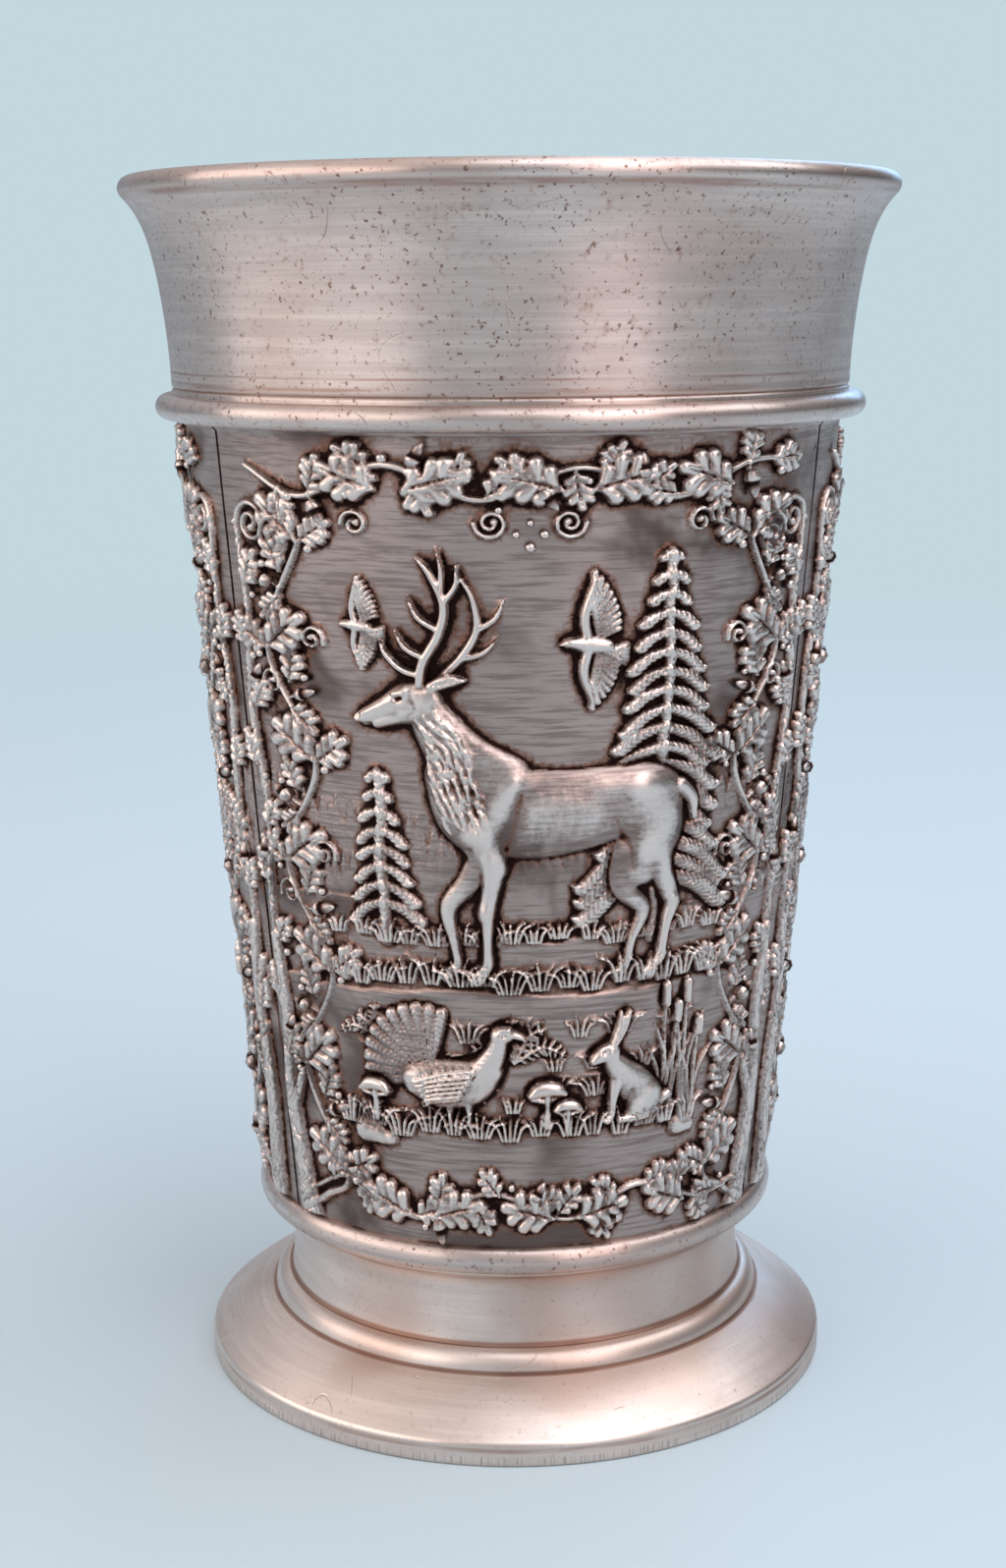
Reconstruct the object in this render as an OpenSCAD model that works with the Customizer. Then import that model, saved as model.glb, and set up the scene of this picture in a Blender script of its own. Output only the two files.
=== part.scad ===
// Pewter beaker: three cast relief panels soldered round a plain liner,
// closed in between a flared lip band above and a turned hollow foot below.
// Origin: centre of the foot's underside. +Z up, the front faces -Y.

/* [Heights] */
// Height of the foot, from the table to the seat that carries the cup
foot_h = 13.3; // [12.5:0.1:20]
// Height of the bead under the relief panels
lower_bead_h = 2.1; // [1.6:0.1:4]
// Height of the relief panels between the two beads
panel_h = 61.45; // [50:0.05:90]
// Height of the bead over the relief panels
upper_bead_h = 1.9; // [1.4:0.1:3]
// Height of the smooth lip band over the upper bead
band_h = 16.25; // [14:0.05:30]

/* [Body] */
// Radius of the panels' ground at their lower edge
panel_bottom_r = 20.5; // [20.3:0.05:22]
// Radius of the panels' ground at their upper edge
panel_top_r = 25.75; // [24:0.05:25.9]
// Thickness of a panel's ground, without its relief
panel_t = 1.2; // [0.8:0.05:1.4]
// Wall thickness of the liner
liner_t = 0.8; // [0.5:0.05:1.4]
// Thickness of the floor disc
floor_t = 1.4; // [0.8:0.1:3]
// Leg of the solder fillet round the floor
floor_fillet = 0.8; // [0.4:0.1:1.5]

/* [Lip band] */
// Radius of the band where it stands on the upper bead
band_base_r = 26.4; // [26.2:0.05:27]
// Largest radius of the lip
lip_r = 30; // [28.5:0.1:34]
// Radius of the lip's rounded edge
lip_round_r = 0.9; // [0.6:0.05:1.2]
// Height of the liner's end that laps inside the band
lap_h = 3; // [2:0.1:6]
// Thickness of the solder film in that lap
lap_film = 0.12; // [0.05:0.01:0.3]

/* [Beads] */
// Largest radius of the upper bead
upper_bead_r = 27.7; // [27.2:0.05:28.5]
// Largest radius of the lower bead
lower_bead_r = 21.25; // [21:0.05:23]

/* [Foot] */
// Radius of the foot's rim
rim_r = 25.5; // [24:0.05:32]
// Height of the rim's upright face
rim_h = 1.5; // [1:0.1:2.5]
// Radius of the rim's rounded upper edge
rim_round_r = 0.6; // [0.3:0.05:1]
// Width of the flat ring that the foot stands on
rim_face_w = 1.9; // [1.2:0.1:3]
// Rise of the flange's crown over its straight line
flange_crown = 0.25; // [0:0.05:0.6]
// Radius of the crease where the flange meets the rounded step
step_r = 20.2; // [19.8:0.1:21.5]
// Height of that crease
step_z = 5; // [4:0.1:5.5]
// Height of the rounded step
step_h = 1.6; // [1:0.1:2]
// Width of the rounded step
step_w = 1.3; // [0.8:0.1:1.4]
// Smallest radius of the neck
neck_r = 18.5; // [18:0.05:18.7]
// Height of the neck's narrowest place
neck_z = 10.4; // [9.5:0.1:11]
// Largest radius of the fine ridge under the lower bead
collar_r = 19.9; // [19.6:0.05:20.2]
// Height of that ridge
collar_h = 0.6; // [0.4:0.05:0.9]
// Wall thickness of the foot
foot_t = 1.6; // [1.2:0.1:2]
// Radius of the hole through the foot's seat
seat_hole_r = 14; // [10:0.5:15.5]

/* [Panels and seams] */
// Turn of the front panel's middle from straight ahead, to the right
panel_turn = 3; // [-10:1:10]
// Angle that each solder seam between two panels takes
seam_angle = 0.8; // [0.4:0.1:1.5]
// Depth of the seams below the panels' ground
seam_recess = 0.15; // [0.05:0.05:0.3]

/* [Oak relief] */
// Height of the leaves over the panels' ground
leaf_rise = 0.75; // [0.3:0.05:1.2]
// Length of a leaf
leaf_len = 4.6; // [4:0.1:5.2]
// Width of a leaf across its lobes
leaf_w = 3.2; // [2.6:0.1:3.6]
// Leaves up each side border of a panel
border_leaves = 7; // [4:1:8]
// Leaves along the top and the bottom of a panel
garland_leaves = 5; // [3:1:5]
// Angle from the panel's edge to the middle of its side border
border_angle = 15; // [14:0.5:17]
// Half width of a trunk at its foot
trunk_foot_w = 1.2; // [1:0.1:2]
// Half width of a trunk at its top
trunk_top_w = 0.4; // [0.3:0.1:1]
// Angle from the panel's edge to a trunk's middle line
trunk_angle = 4.5; // [4.2:0.1:6]

/* [Woodland relief] */
// Height of the animals over the panels' ground
beast_rise = 0.9; // [0.4:0.05:1.2]
// Height of the spruces over the panels' ground
spruce_rise = 0.5; // [0.3:0.05:0.8]
// Height of the deer at the shoulder
deer_h = 16.2; // [13:0.1:16.6]
// Height of the grouse
grouse_h = 8.3; // [6:0.1:9]
// Height of the hare with its ears
hare_h = 9; // [7:0.1:10]
// Height of the tallest spruce
spruce_h = 29; // [22:0.5:30]
// Height of the bank that the deer stand on, over a panel's lower edge
bank_h = 21.4; // [20:0.1:22]
// Height of the glade that the small animals sit in, over a panel's lower edge
glade_h = 9.9; // [9:0.1:11]

/* [Hidden] */
$fn = 180;

// Steps in each drawn curve of an outline
curve_steps = 12;
// Full, half and quarter of a turn
full_turn = 360;
half_turn = full_turn / 2;
quarter_turn = full_turn / 4;
// Three panels share the full turn
panel_count = 3;
panel_step = full_turn / panel_count;
panel_angle = panel_step - seam_angle;
// Direction of the front panel's middle, seen from above
front_dir = panel_turn - quarter_turn;

// Heights of the joints, from the table up
panel_z = foot_h + lower_bead_h;
upper_bead_z = panel_z + panel_h;
band_z = upper_bead_z + upper_bead_h;
lap_z = band_z + lap_h;
cup_h = band_z + band_h;

// The wall is a plain cone. Panels, liner and floor take their radii from it.
wall_slope = (panel_top_r - panel_bottom_r) / panel_h;
wall_lean = atan(wall_slope);
function wall_r(z) = panel_bottom_r + (z - panel_z) * wall_slope;
function liner_out(z) = wall_r(z) - panel_t;
function liner_in(z) = liner_out(z) - liner_t;

// Points of an arc about (r, z) with half axes a and b, from one angle to another
function arc(r, z, a, b, one, two) = [for (i = [0:curve_steps])
    let (t = one + (two - one) * i / curve_steps) [r + a * cos(t), z + b * sin(t)]];

// Section of the wall between two heights, from an inner to an outer offset of its ground
function wall_section(z0, z1, inner, outer) = [
    [wall_r(z0) - inner, z0], [wall_r(z0) - outer, z0],
    [wall_r(z1) - outer, z1], [wall_r(z1) - inner, z1]];

// The band's flare is a long gentle sweep and a short roll at the lip
sweep_power = 1.75;
roll_power = 9;
outer_sweep_share = 0.635;
inner_sweep_share = 0.8;
function flare(t, share) = share * pow(t, sweep_power) + (1 - share) * pow(t, roll_power);
function flare_points(low, high, share) = [for (i = [0:curve_steps])
    let (t = i / curve_steps, f = flare(t, share))
        [low[0] + (high[0] - low[0]) * f, low[1] + (high[1] - low[1]) * t]];
function backwards(points) = [for (i = [1:len(points)]) points[len(points) - i]];

// The lip is half a round, tilted to follow the flare
lip_tilt = 45;
lip_mid = [lip_r - lip_round_r, cup_h - lip_round_r];
lip_step = lip_round_r * [cos(lip_tilt), -sin(lip_tilt)];

// Smooth flared band that is drunk from, with a recess for the liner's end
module lip_band() {
    recess_r = lap_film + liner_out(band_z);
    color("#b9aea6")
        rotate_extrude()
            polygon(concat(
                [[recess_r, band_z]],
                flare_points([band_base_r, band_z], lip_mid + lip_step, outer_sweep_share),
                arc(lip_mid[0], lip_mid[1], lip_round_r, lip_round_r,
                    -lip_tilt, half_turn - lip_tilt),
                backwards(flare_points([liner_in(lap_z), lap_z], lip_mid - lip_step,
                    inner_sweep_share)),
                [[liner_out(lap_z) + lap_film, lap_z]]));
}

// Film of solder between the liner's end and the band's recess
module lap_solder() {
    color("#8f8a86")
        rotate_extrude()
            polygon(wall_section(band_z, lap_z, panel_t, panel_t - lap_film));
}

// Plain tapering cup wall that the panels and the band are soldered to
module liner() {
    color("#a39c95")
        rotate_extrude()
            polygon(wall_section(foot_h, lap_z, panel_t + liner_t, panel_t));
}

// Round wire that covers the joint between the band and the panels
module upper_bead() {
    half_h = upper_bead_h / 2;
    color("#c4b6ab")
        rotate_extrude()
            polygon(concat(
                [[liner_out(upper_bead_z), upper_bead_z]],
                arc(upper_bead_r - half_h, upper_bead_z + half_h, half_h, half_h,
                    -quarter_turn, quarter_turn),
                [[liner_out(band_z), band_z]]));
}

// Half round that the panels stand on
module lower_bead() {
    half_h = lower_bead_h / 2;
    color("#c4b6ab")
        rotate_extrude()
            polygon(concat(
                [[liner_out(foot_h), foot_h]],
                arc(panel_bottom_r, foot_h + half_h, lower_bead_r - panel_bottom_r, half_h,
                    -quarter_turn, quarter_turn),
                [[liner_out(panel_z), panel_z]]));
}

// Disc that closes the cup, resting on the foot's seat inside the liner
module floor_disc() {
    color("#9a948e")
        rotate_extrude()
            polygon([[0, foot_h], [liner_in(foot_h), foot_h],
                [liner_in(foot_h + floor_t), foot_h + floor_t], [0, foot_h + floor_t]]);
}

// Fillet of solder in the corner of floor and liner
module floor_solder() {
    low = foot_h + floor_t;
    high = low + floor_fillet;
    color("#8f8a86")
        rotate_extrude()
            polygon([[liner_in(low) - floor_fillet, low], [liner_in(low), low],
                [liner_in(high), high]]);
}

// The foot's outline takes these places from its sizes
step_top = [step_r - step_w, step_z + step_h];
flange_rise = step_z - rim_h;
flange_run = rim_r - rim_round_r - step_r;
flange_turn = quarter_turn - atan(flange_rise / flange_run);
flange_low = [rim_r - rim_round_r * (1 - cos(flange_turn)), rim_h + rim_round_r * sin(flange_turn)];
flange_high = [step_r, step_z];
function flange_point(t) = flange_low + (flange_high - flange_low) * t
    + flange_crown * sin(half_turn * t) * [cos(flange_turn), sin(flange_turn)];
// The fine ridge is a half round, and solder fills a share of the corner over it
ridge_half = collar_h / 2;
collar_z = foot_h - collar_h;
collar_mid_z = foot_h - ridge_half;
collar_base_r = collar_r - ridge_half;
fillet_share = 0.8;

// Turned hollow foot: rim, flange, rounded step, neck and the seat for the cup
module foot() {
    under_r = rim_r - rim_face_w;
    bore_r = neck_r - foot_t;
    seat_under_z = foot_h - foot_t;
    color("#c9bdb2")
        rotate_extrude()
            polygon(concat(
                [[under_r, 0], [rim_r, 0]],
                arc(rim_r - rim_round_r, rim_h, rim_round_r, rim_round_r, 0, flange_turn),
                [for (i = [1:curve_steps]) flange_point(i / curve_steps)],
                arc(step_top[0], step_z, step_w, step_h, 0, quarter_turn),
                arc(step_top[0], neck_z, step_top[0] - neck_r, neck_z - step_top[1],
                    -quarter_turn, -half_turn),
                arc(collar_base_r, neck_z, collar_base_r - neck_r, collar_z - neck_z,
                    half_turn, quarter_turn),
                arc(collar_base_r, collar_mid_z, ridge_half, ridge_half,
                    -quarter_turn, quarter_turn),
                [[seat_hole_r, foot_h], [seat_hole_r, seat_under_z], [bore_r, seat_under_z],
                    [bore_r, step_top[1] - foot_t / 2],
                    [step_r - foot_t, step_z - foot_t], [under_r, rim_h - rim_round_r]]));
}

// Fillet of solder in the corner of the foot's ridge and the lower bead
module foot_solder() {
    color("#8f8a86")
        rotate_extrude()
            polygon(concat(
                arc(collar_base_r, collar_mid_z, ridge_half, ridge_half,
                    acos(fillet_share), quarter_turn),
                [[collar_base_r + fillet_share * ridge_half, foot_h]]));
}

// A place on the wall: +X points out of the ground there, +Z up along it
module on_wall(dir, z) {
    rotate([0, 0, dir])
        translate([wall_r(z), 0, z])
            rotate([0, wall_lean, 0])
                children();
}

// Half width of an oak leaf at a share t of its length
leaf_lobes = 4;
leaf_steps = 16;
leaf_belly_share = 0.8;
leaf_fullness = 0.6;
lobe_depth_share = 0.42;
function leaf_half_w(t) = leaf_w / 2
    * pow(sin(half_turn * pow(t, leaf_belly_share)), leaf_fullness)
    * (1 - lobe_depth_share * (1 + cos(full_turn * leaf_lobes * t)) / 2);
leaf_side = [for (i = [1:leaf_steps - 1]) let (t = i / leaf_steps)
    [(t - 1 / 2) * leaf_len, leaf_half_w(t)]];
leaf_outline = concat([[-leaf_len / 2, 0]], leaf_side,
    [[leaf_len / 2, 0]], [for (p = backwards(leaf_side)) [p[0], -p[1]]]);

// The relief is rooted half way into the ground
root_depth = panel_t / 2;

// One lobed leaf, turned by tilt from pointing up
module leaf(dir, z, tilt) {
    on_wall(dir, z)
        translate([-root_depth, 0, 0])
            rotate([0, quarter_turn, 0])
                linear_extrude(root_depth + leaf_rise)
                    rotate(half_turn + tilt)
                        polygon(leaf_outline);
}

// Tapering trunk along a panel's side, half sunk in the ground and clear of both beads
trunk_margin_share = 0.33;
trunk_margin = trunk_margin_share * trunk_foot_w;
trunk_len = panel_h - 2 * trunk_margin;
trunk_sink = trunk_foot_w - trunk_top_w;
module trunk(dir) {
    intersection() {
        on_wall(dir, panel_z + trunk_margin)
            translate([-trunk_sink, 0, 0])
                rotate([0, atan(trunk_sink / trunk_len), 0])
                    cylinder(h = trunk_len, r1 = trunk_foot_w, r2 = trunk_top_w);
        rotate_extrude()
            polygon(wall_section(panel_z, upper_bead_z, root_depth, -trunk_foot_w));
    }
}

// Trunk and leaves up one side of a panel. Side is 1 for its left side and -1 for its right
border_tilt = 50;
leaf_pitch = (panel_h - leaf_len) / border_leaves;
module border(mid_dir, side) {
    edge_dir = mid_dir - side * panel_angle / 2;
    trunk(edge_dir + side * trunk_angle);
    for (i = [0:border_leaves - 1]) {
        z = panel_z + leaf_len / 2 + (i + 1 / 2) * leaf_pitch;
        leaf(edge_dir + side * border_angle, z, side * (i % 2 == 0 ? 1 : -1) * border_tilt);
    }
}

// Leaves along the top and the bottom of a panel, between its borders
garland_angle = panel_angle - 3 * border_angle;
garland_tilt = 70;
module garland(mid_dir, z) {
    for (i = [0:garland_leaves - 1]) {
        share = (i + 1 / 2) / garland_leaves - 1 / 2;
        leaf(mid_dir + share * garland_angle, z, (i % 2 == 0 ? 1 : -1) * garland_tilt);
    }
}

// Outlines of the animals, each with its feet at height 0 and as tall as its drawn height
deer_drawn_h = 18;
deer_outline = [[-16.3, 21.7], [-15, 22.8], [-12.2, 24.7], [-9.8, 25.3], [-8.6, 23.2],
    [-6.4, 20.4], [-2.8, 18.1], [3, 17.8], [7.6, 18], [10.2, 16.6], [11.3, 13.4], [10.2, 12.6],
    [9.9, 9.4], [10.3, 6.2], [9.4, 2.4], [9.2, 0], [7, 0], [8.1, 2], [8.4, 6], [7.2, 8.2],
    [7.6, 5.9], [6.4, 3], [6.1, 0], [4.2, 0], [5.2, 1.8], [6.2, 5.6], [4.2, 7.6], [3.4, 11.6],
    [-2.6, 10.7], [-4.6, 9.2], [-5.2, 6], [-5.5, 0], [-7.6, 0], [-6.7, 2], [-6.8, 6], [-7, 8.4],
    [-8.4, 6.2], [-8.2, 0], [-10.2, 0], [-9.4, 2.2], [-10.1, 6.6], [-8.6, 10.6], [-10.4, 14.2],
    [-11.4, 17.6], [-11.6, 20.8], [-13.4, 21.4], [-15.6, 20.9]];
antler_outline = [[-11.2, 24.4], [-12.4, 25.4], [-13.8, 27.1], [-13.9, 28.4], [-12.2, 26.5],
    [-11, 26.1], [-10.9, 26.9], [-12.2, 27.7], [-12.6, 29.2], [-11.5, 28.4], [-10.4, 27.9],
    [-9.8, 29.1], [-11.1, 30.1], [-11.5, 31.8], [-10.3, 30.9], [-9.4, 30.4], [-9.3, 31.6],
    [-10.3, 33.3], [-10.9, 35.1], [-9.5, 33.9], [-9.3, 35.6], [-8.7, 33.4], [-7.9, 34.5],
    [-8.3, 31.6], [-8.6, 29.4], [-9.9, 26.9], [-10.2, 24.4]];
grouse_drawn_h = 8.8;
grouse_outline = [[5.8, 7.5], [4.9, 8.4], [3.9, 8.8], [2.9, 8.2], [2.4, 6.6], [1, 5.8],
    [-0.6, 5.8], [-1.2, 9.8], [-3.3, 10], [-5.6, 9], [-7.4, 7], [-8, 4.6], [-7.7, 3],
    [-4.6, 2.9], [-2.6, 1.9], [-0.8, 1.5], [-0.9, 0], [1.4, 0], [1.5, 1.9], [3, 2.9],
    [4, 4.6], [4.6, 7.4]];
hare_drawn_h = 12.4;
hare_outline = [[-4.7, 7.2], [-3.6, 8.5], [-2.5, 9], [-1.9, 12], [-1.2, 10.6], [-0.4, 12.4],
    [-0.3, 10.6], [-1.2, 8.2], [0.6, 6.8], [2.8, 4.8], [3.9, 3], [5.3, 2.7], [4.4, 1.2],
    [2.6, 0], [-2.9, 0], [-2.4, 1.2], [-2.3, 4.4], [-2.8, 6.8]];

// A spruce's outline, with its tiers of drooping boughs
spruce_tiers = 6;
bough_share = 0.2;
notch_share = 0.5;
stem_share = 0.03;
function spruce_side(tall) = [for (i = [1:spruce_tiers], part = [0, 1])
    let (t = i / spruce_tiers, reach = t * bough_share * tall, y = tall * (1 - t) + stem_share * tall)
        part == 0 ? [reach, y] : [i == spruce_tiers ? stem_share * tall : notch_share * reach, y]];
function spruce_outline(tall) = concat([[0, tall]], spruce_side(tall),
    [[stem_share * tall, 0], [-stem_share * tall, 0]],
    [for (p = backwards(spruce_side(tall))) [-p[0], p[1]]]);

// Places on a panel are millimetres to the right of its middle, at the wall's mean radius
mean_r = (panel_bottom_r + panel_top_r) / 2;
angle_of_mm = full_turn / (2 * PI * mean_r);
function seen(y, way, outline) = [for (p = outline)
    let (up = y + abs(way) * p[1])
        [wall_r(panel_z + up) * sin(way * p[0] * angle_of_mm), up]];

// A figure that stands at (x, y) on a panel. Way is its size, and below 0 it is mirrored
figure_reach_share = 0.7;
figure_start = figure_reach_share * panel_bottom_r;
module figure(mid_dir, x, y, way, rise, outline) {
    intersection() {
        rotate([0, 0, mid_dir + x * angle_of_mm])
            translate([figure_start, 0, panel_z])
                rotate([quarter_turn, 0, quarter_turn])
                    linear_extrude(panel_top_r + 2 * rise - figure_start)
                        polygon(seen(y, way, outline));
        rotate_extrude()
            polygon(wall_section(panel_z, upper_bead_z, rise, -rise));
    }
}

// Deer that stands at x on the bank, looking left, or right where way is -1
antler_rise = beast_rise - leaf_rise / 4;
module deer(mid_dir, x, way, antlers) {
    figure(mid_dir, x, bank_h, way * deer_h / deer_drawn_h, beast_rise, deer_outline);
    if (antlers)
        figure(mid_dir, x, bank_h, way * deer_h / deer_drawn_h, antler_rise, antler_outline);
}

module grouse(mid_dir, x, way) {
    figure(mid_dir, x, glade_h, way * grouse_h / grouse_drawn_h, leaf_rise, grouse_outline);
}

module hare(mid_dir, x, way) {
    figure(mid_dir, x, glade_h, way * hare_h / hare_drawn_h, leaf_rise, hare_outline);
}

module spruce(mid_dir, x, foot, size_share) {
    figure(mid_dir, x, bank_h + foot, 1, spruce_rise, spruce_outline(size_share * spruce_h));
}

// Cast panel: curved ground with its oak border in one piece, and the woodland figures
module panel(mid_dir) {
    rotate([0, 0, mid_dir - panel_angle / 2])
        rotate_extrude(angle = panel_angle)
            polygon(wall_section(panel_z, upper_bead_z, panel_t, 0));
    border(mid_dir, 1);
    border(mid_dir, -1);
    garland(mid_dir, panel_z + leaf_w);
    garland(mid_dir, upper_bead_z - leaf_w);
}

// Stag before a tall spruce, with a grouse and a hare
module relief_panel_front() {
    color("#6f6863") {
        panel(front_dir);
        spruce(front_dir, 9.6, 3, 1);
        spruce(front_dir, -11, 3, 0.44);
        deer(front_dir, 2.4, 1, true);
        grouse(front_dir, -5.8, 1);
        hare(front_dir, 8, 1);
    }
}

// Hind between spruces, with a hare and a grouse
module relief_panel_right() {
    mid_dir = front_dir + panel_step;
    color("#746c66") {
        panel(mid_dir);
        spruce(mid_dir, -9.4, 3, 1);
        spruce(mid_dir, 10.6, 3, 0.55);
        deer(mid_dir, -2, -1, false);
        grouse(mid_dir, 5.8, -1);
        hare(mid_dir, -8, -1);
    }
}

// Stag that looks right, with a group of spruces behind it and two hares
module relief_panel_left() {
    mid_dir = front_dir + 2 * panel_step;
    color("#69625d") {
        panel(mid_dir);
        spruce(mid_dir, -10.6, 3, 0.9);
        spruce(mid_dir, 11, 3, 0.44);
        deer(mid_dir, -2.4, -1, true);
        hare(mid_dir, -6.4, 1);
        hare(mid_dir, 6, -1);
    }
}

// Three strips of solder between the panels
module panel_seams() {
    color("#8f8a86")
        for (i = [0:panel_count - 1])
            rotate([0, 0, front_dir + panel_angle / 2 + i * panel_step])
                rotate_extrude(angle = seam_angle)
                    polygon(wall_section(panel_z, upper_bead_z, panel_t, seam_recess));
}

lip_band();
lap_solder();
upper_bead();
liner();
relief_panel_front();
relief_panel_right();
relief_panel_left();
panel_seams();
lower_bead();
floor_disc();
floor_solder();
foot();
foot_solder();
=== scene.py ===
"""Footed pewter beaker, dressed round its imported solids.

Three cast relief panels in an oak border stand between two beads on a turned foot, under
a plain flared lip band. Sizes are in millimetres until a mesh is made, and every mesh is in
metres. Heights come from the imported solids. Flat panel drawings have x across, y up and the
lift over the panel's ground as third value, and are bent round the conical wall at the end.
"""

import logging
from contextlib import contextmanager
from dataclasses import dataclass, field
from enum import Enum
from math import acos, atan, atan2, ceil, cos, degrees, dist, pi, radians, sin, sqrt
from typing import Any, Iterator, Sequence

import bpy
import numpy as np
from bpy.types import Material, Mesh, Node, NodeSocket, NodeTree, Object
from mathutils import Matrix, Vector


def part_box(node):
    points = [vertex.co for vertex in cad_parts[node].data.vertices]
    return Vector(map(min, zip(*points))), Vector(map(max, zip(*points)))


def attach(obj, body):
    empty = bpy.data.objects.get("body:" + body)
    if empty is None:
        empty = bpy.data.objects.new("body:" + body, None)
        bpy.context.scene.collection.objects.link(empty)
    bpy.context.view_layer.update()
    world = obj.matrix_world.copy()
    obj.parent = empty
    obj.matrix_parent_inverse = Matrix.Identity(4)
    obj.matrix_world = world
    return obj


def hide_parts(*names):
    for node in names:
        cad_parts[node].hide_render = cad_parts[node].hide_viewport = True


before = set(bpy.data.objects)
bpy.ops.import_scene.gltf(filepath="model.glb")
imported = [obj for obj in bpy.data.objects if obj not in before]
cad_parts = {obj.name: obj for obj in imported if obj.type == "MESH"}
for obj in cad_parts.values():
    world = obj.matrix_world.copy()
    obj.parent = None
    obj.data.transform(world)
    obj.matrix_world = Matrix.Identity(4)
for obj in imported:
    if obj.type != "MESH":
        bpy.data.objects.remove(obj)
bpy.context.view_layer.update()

LOG = logging.getLogger("beaker")
MM = 0.001
FULL_TURN = 2 * pi

Row = tuple[float, float, float]
Rows = Sequence[Row]
Spot = tuple[float, float, float, float]
Point = tuple[float, float]


def level(node: str, upper: bool) -> float:
    """Height of a solid's lower or upper side, in millimetres."""
    return round(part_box(node)[int(upper)].z / MM, 4)


FOOT_H = level("foot", True)
PANEL_Z = level("lower_bead", True)
UPPER_BEAD_Z = level("upper_bead", False)
BAND_Z = level("upper_bead", True)
LAP_Z = level("liner", True)
CUP_H = level("lip_band", True)
FLOOR_TOP_Z = level("floor_disc", True)
SOLDER_TOP_Z = level("floor_solder", True)


def linear(colour: str) -> Spot:
    """Turns an sRGB hex colour into linear RGBA.

    Args:
        colour: Six hex digits after a hash.

    Returns:
        Linear red, green and blue, and an alpha of 1.
    """
    parts = [int(colour[i:i + 2], 16) / 255 for i in (1, 3, 5)]
    red, green, blue = (p / 12.92 if p <= 0.04045 else ((p + 0.055) / 1.055) ** 2.4 for p in parts)
    return red, green, blue, 1.0


def add(tree: NodeTree, kind: str, inputs: dict[Any, Any] | None = None,
        **settings: Any) -> Node:
    """Adds a node with its settings and links.

    Args:
        tree: Tree that the node goes into.
        kind: Blender's name for the kind of node.
        inputs: Value, node or output for each input, by name or index.
        settings: Properties of the node.

    Returns:
        The new node.
    """
    node = tree.nodes.new(kind)
    for name, value in settings.items():
        setattr(node, name, value)
    for key, value in (inputs or {}).items():
        if isinstance(value, Node):
            value = next(output for output in value.outputs if output.enabled)
        if isinstance(value, NodeSocket):
            tree.links.new(value, node.inputs[key])
        else:
            node.inputs[key].default_value = value
    return node


def calculate(tree: NodeTree, operation: str, *values: Any) -> Node:
    """Adds an arithmetic operation to a node tree."""
    return add(tree, "ShaderNodeMath", dict(enumerate(values)), operation=operation)


def mix_colours(tree: NodeTree, share: Any, one: Any, two: Any) -> NodeSocket:
    """Adds a mix of two colours to a node tree."""
    return add(tree, "ShaderNodeMix", {0: share, 6: one, 7: two}, data_type="RGBA").outputs[2]


# Geometry Nodes


@dataclass
class Recipe:
    """A Geometry Nodes tree with named inputs, and the way that it is run on a mesh."""

    tree: NodeTree
    entry: Node
    exit: Node

    @classmethod
    def begin(cls, name: str, inputs: dict[str, str]) -> "Recipe":
        """Starts a tree.

        Args:
            name: Name of the tree.
            inputs: Kind of each further input, by its name.

        Returns:
            The recipe, still empty.
        """
        tree = bpy.data.node_groups.new(name, "GeometryNodeTree")
        tree.interface.new_socket("Geometry", in_out="INPUT", socket_type="NodeSocketGeometry")
        for label, kind in inputs.items():
            tree.interface.new_socket(label, in_out="INPUT", socket_type=f"NodeSocket{kind}")
        tree.interface.new_socket("Geometry", in_out="OUTPUT", socket_type="NodeSocketGeometry")
        return cls(tree, tree.nodes.new("NodeGroupInput"), tree.nodes.new("NodeGroupOutput"))

    def finish(self, geometry: Node) -> "Recipe":
        """Ends the tree with smooth, real geometry that wears the Finish input.

        Args:
            geometry: Node that gives the geometry.

        Returns:
            This recipe, finished.
        """
        smooth = add(self.tree, "GeometryNodeSetShadeSmooth", {"Geometry": geometry})
        whole = add(self.tree, "GeometryNodeRealizeInstances", {"Geometry": smooth})
        dressed = add(self.tree, "GeometryNodeSetMaterial",
                      {"Geometry": whole, "Material": self.entry.outputs["Finish"]})
        self.tree.links.new(dressed.outputs[0], self.exit.inputs[0])
        return self

    def run(self, mesh: Mesh, values: dict[str, Any], most: int = 0,
            crease: float = 50.0) -> Mesh:
        """Runs the tree on a mesh.

        Args:
            mesh: Mesh that goes in.
            values: Value of each named input.
            most: Most triangles of the result, or 0 for no thinning.
            crease: Angle from which an edge stays sharp, in degrees.

        Returns:
            A plain mesh with what came out.
        """
        carrier = new_object("carrier", mesh)
        modifier = carrier.modifiers.new("recipe", "NODES")
        modifier.node_group = self.tree
        for item in self.tree.interface.items_tree:
            if item.in_out == "INPUT" and item.name in values:
                modifier[item.identifier] = values[item.name]
        triangles = sum(len(face.vertices) - 2 for face in mesh.polygons)
        if 0 < most < triangles:
            carrier.modifiers.new("thin", "DECIMATE").ratio = most / triangles
        result = bpy.data.meshes.new_from_object(
            carrier.evaluated_get(bpy.context.evaluated_depsgraph_get()))
        result.set_sharp_from_angle(angle=radians(crease))
        carrier.modifiers.clear()
        bpy.data.objects.remove(carrier)
        return result


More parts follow.
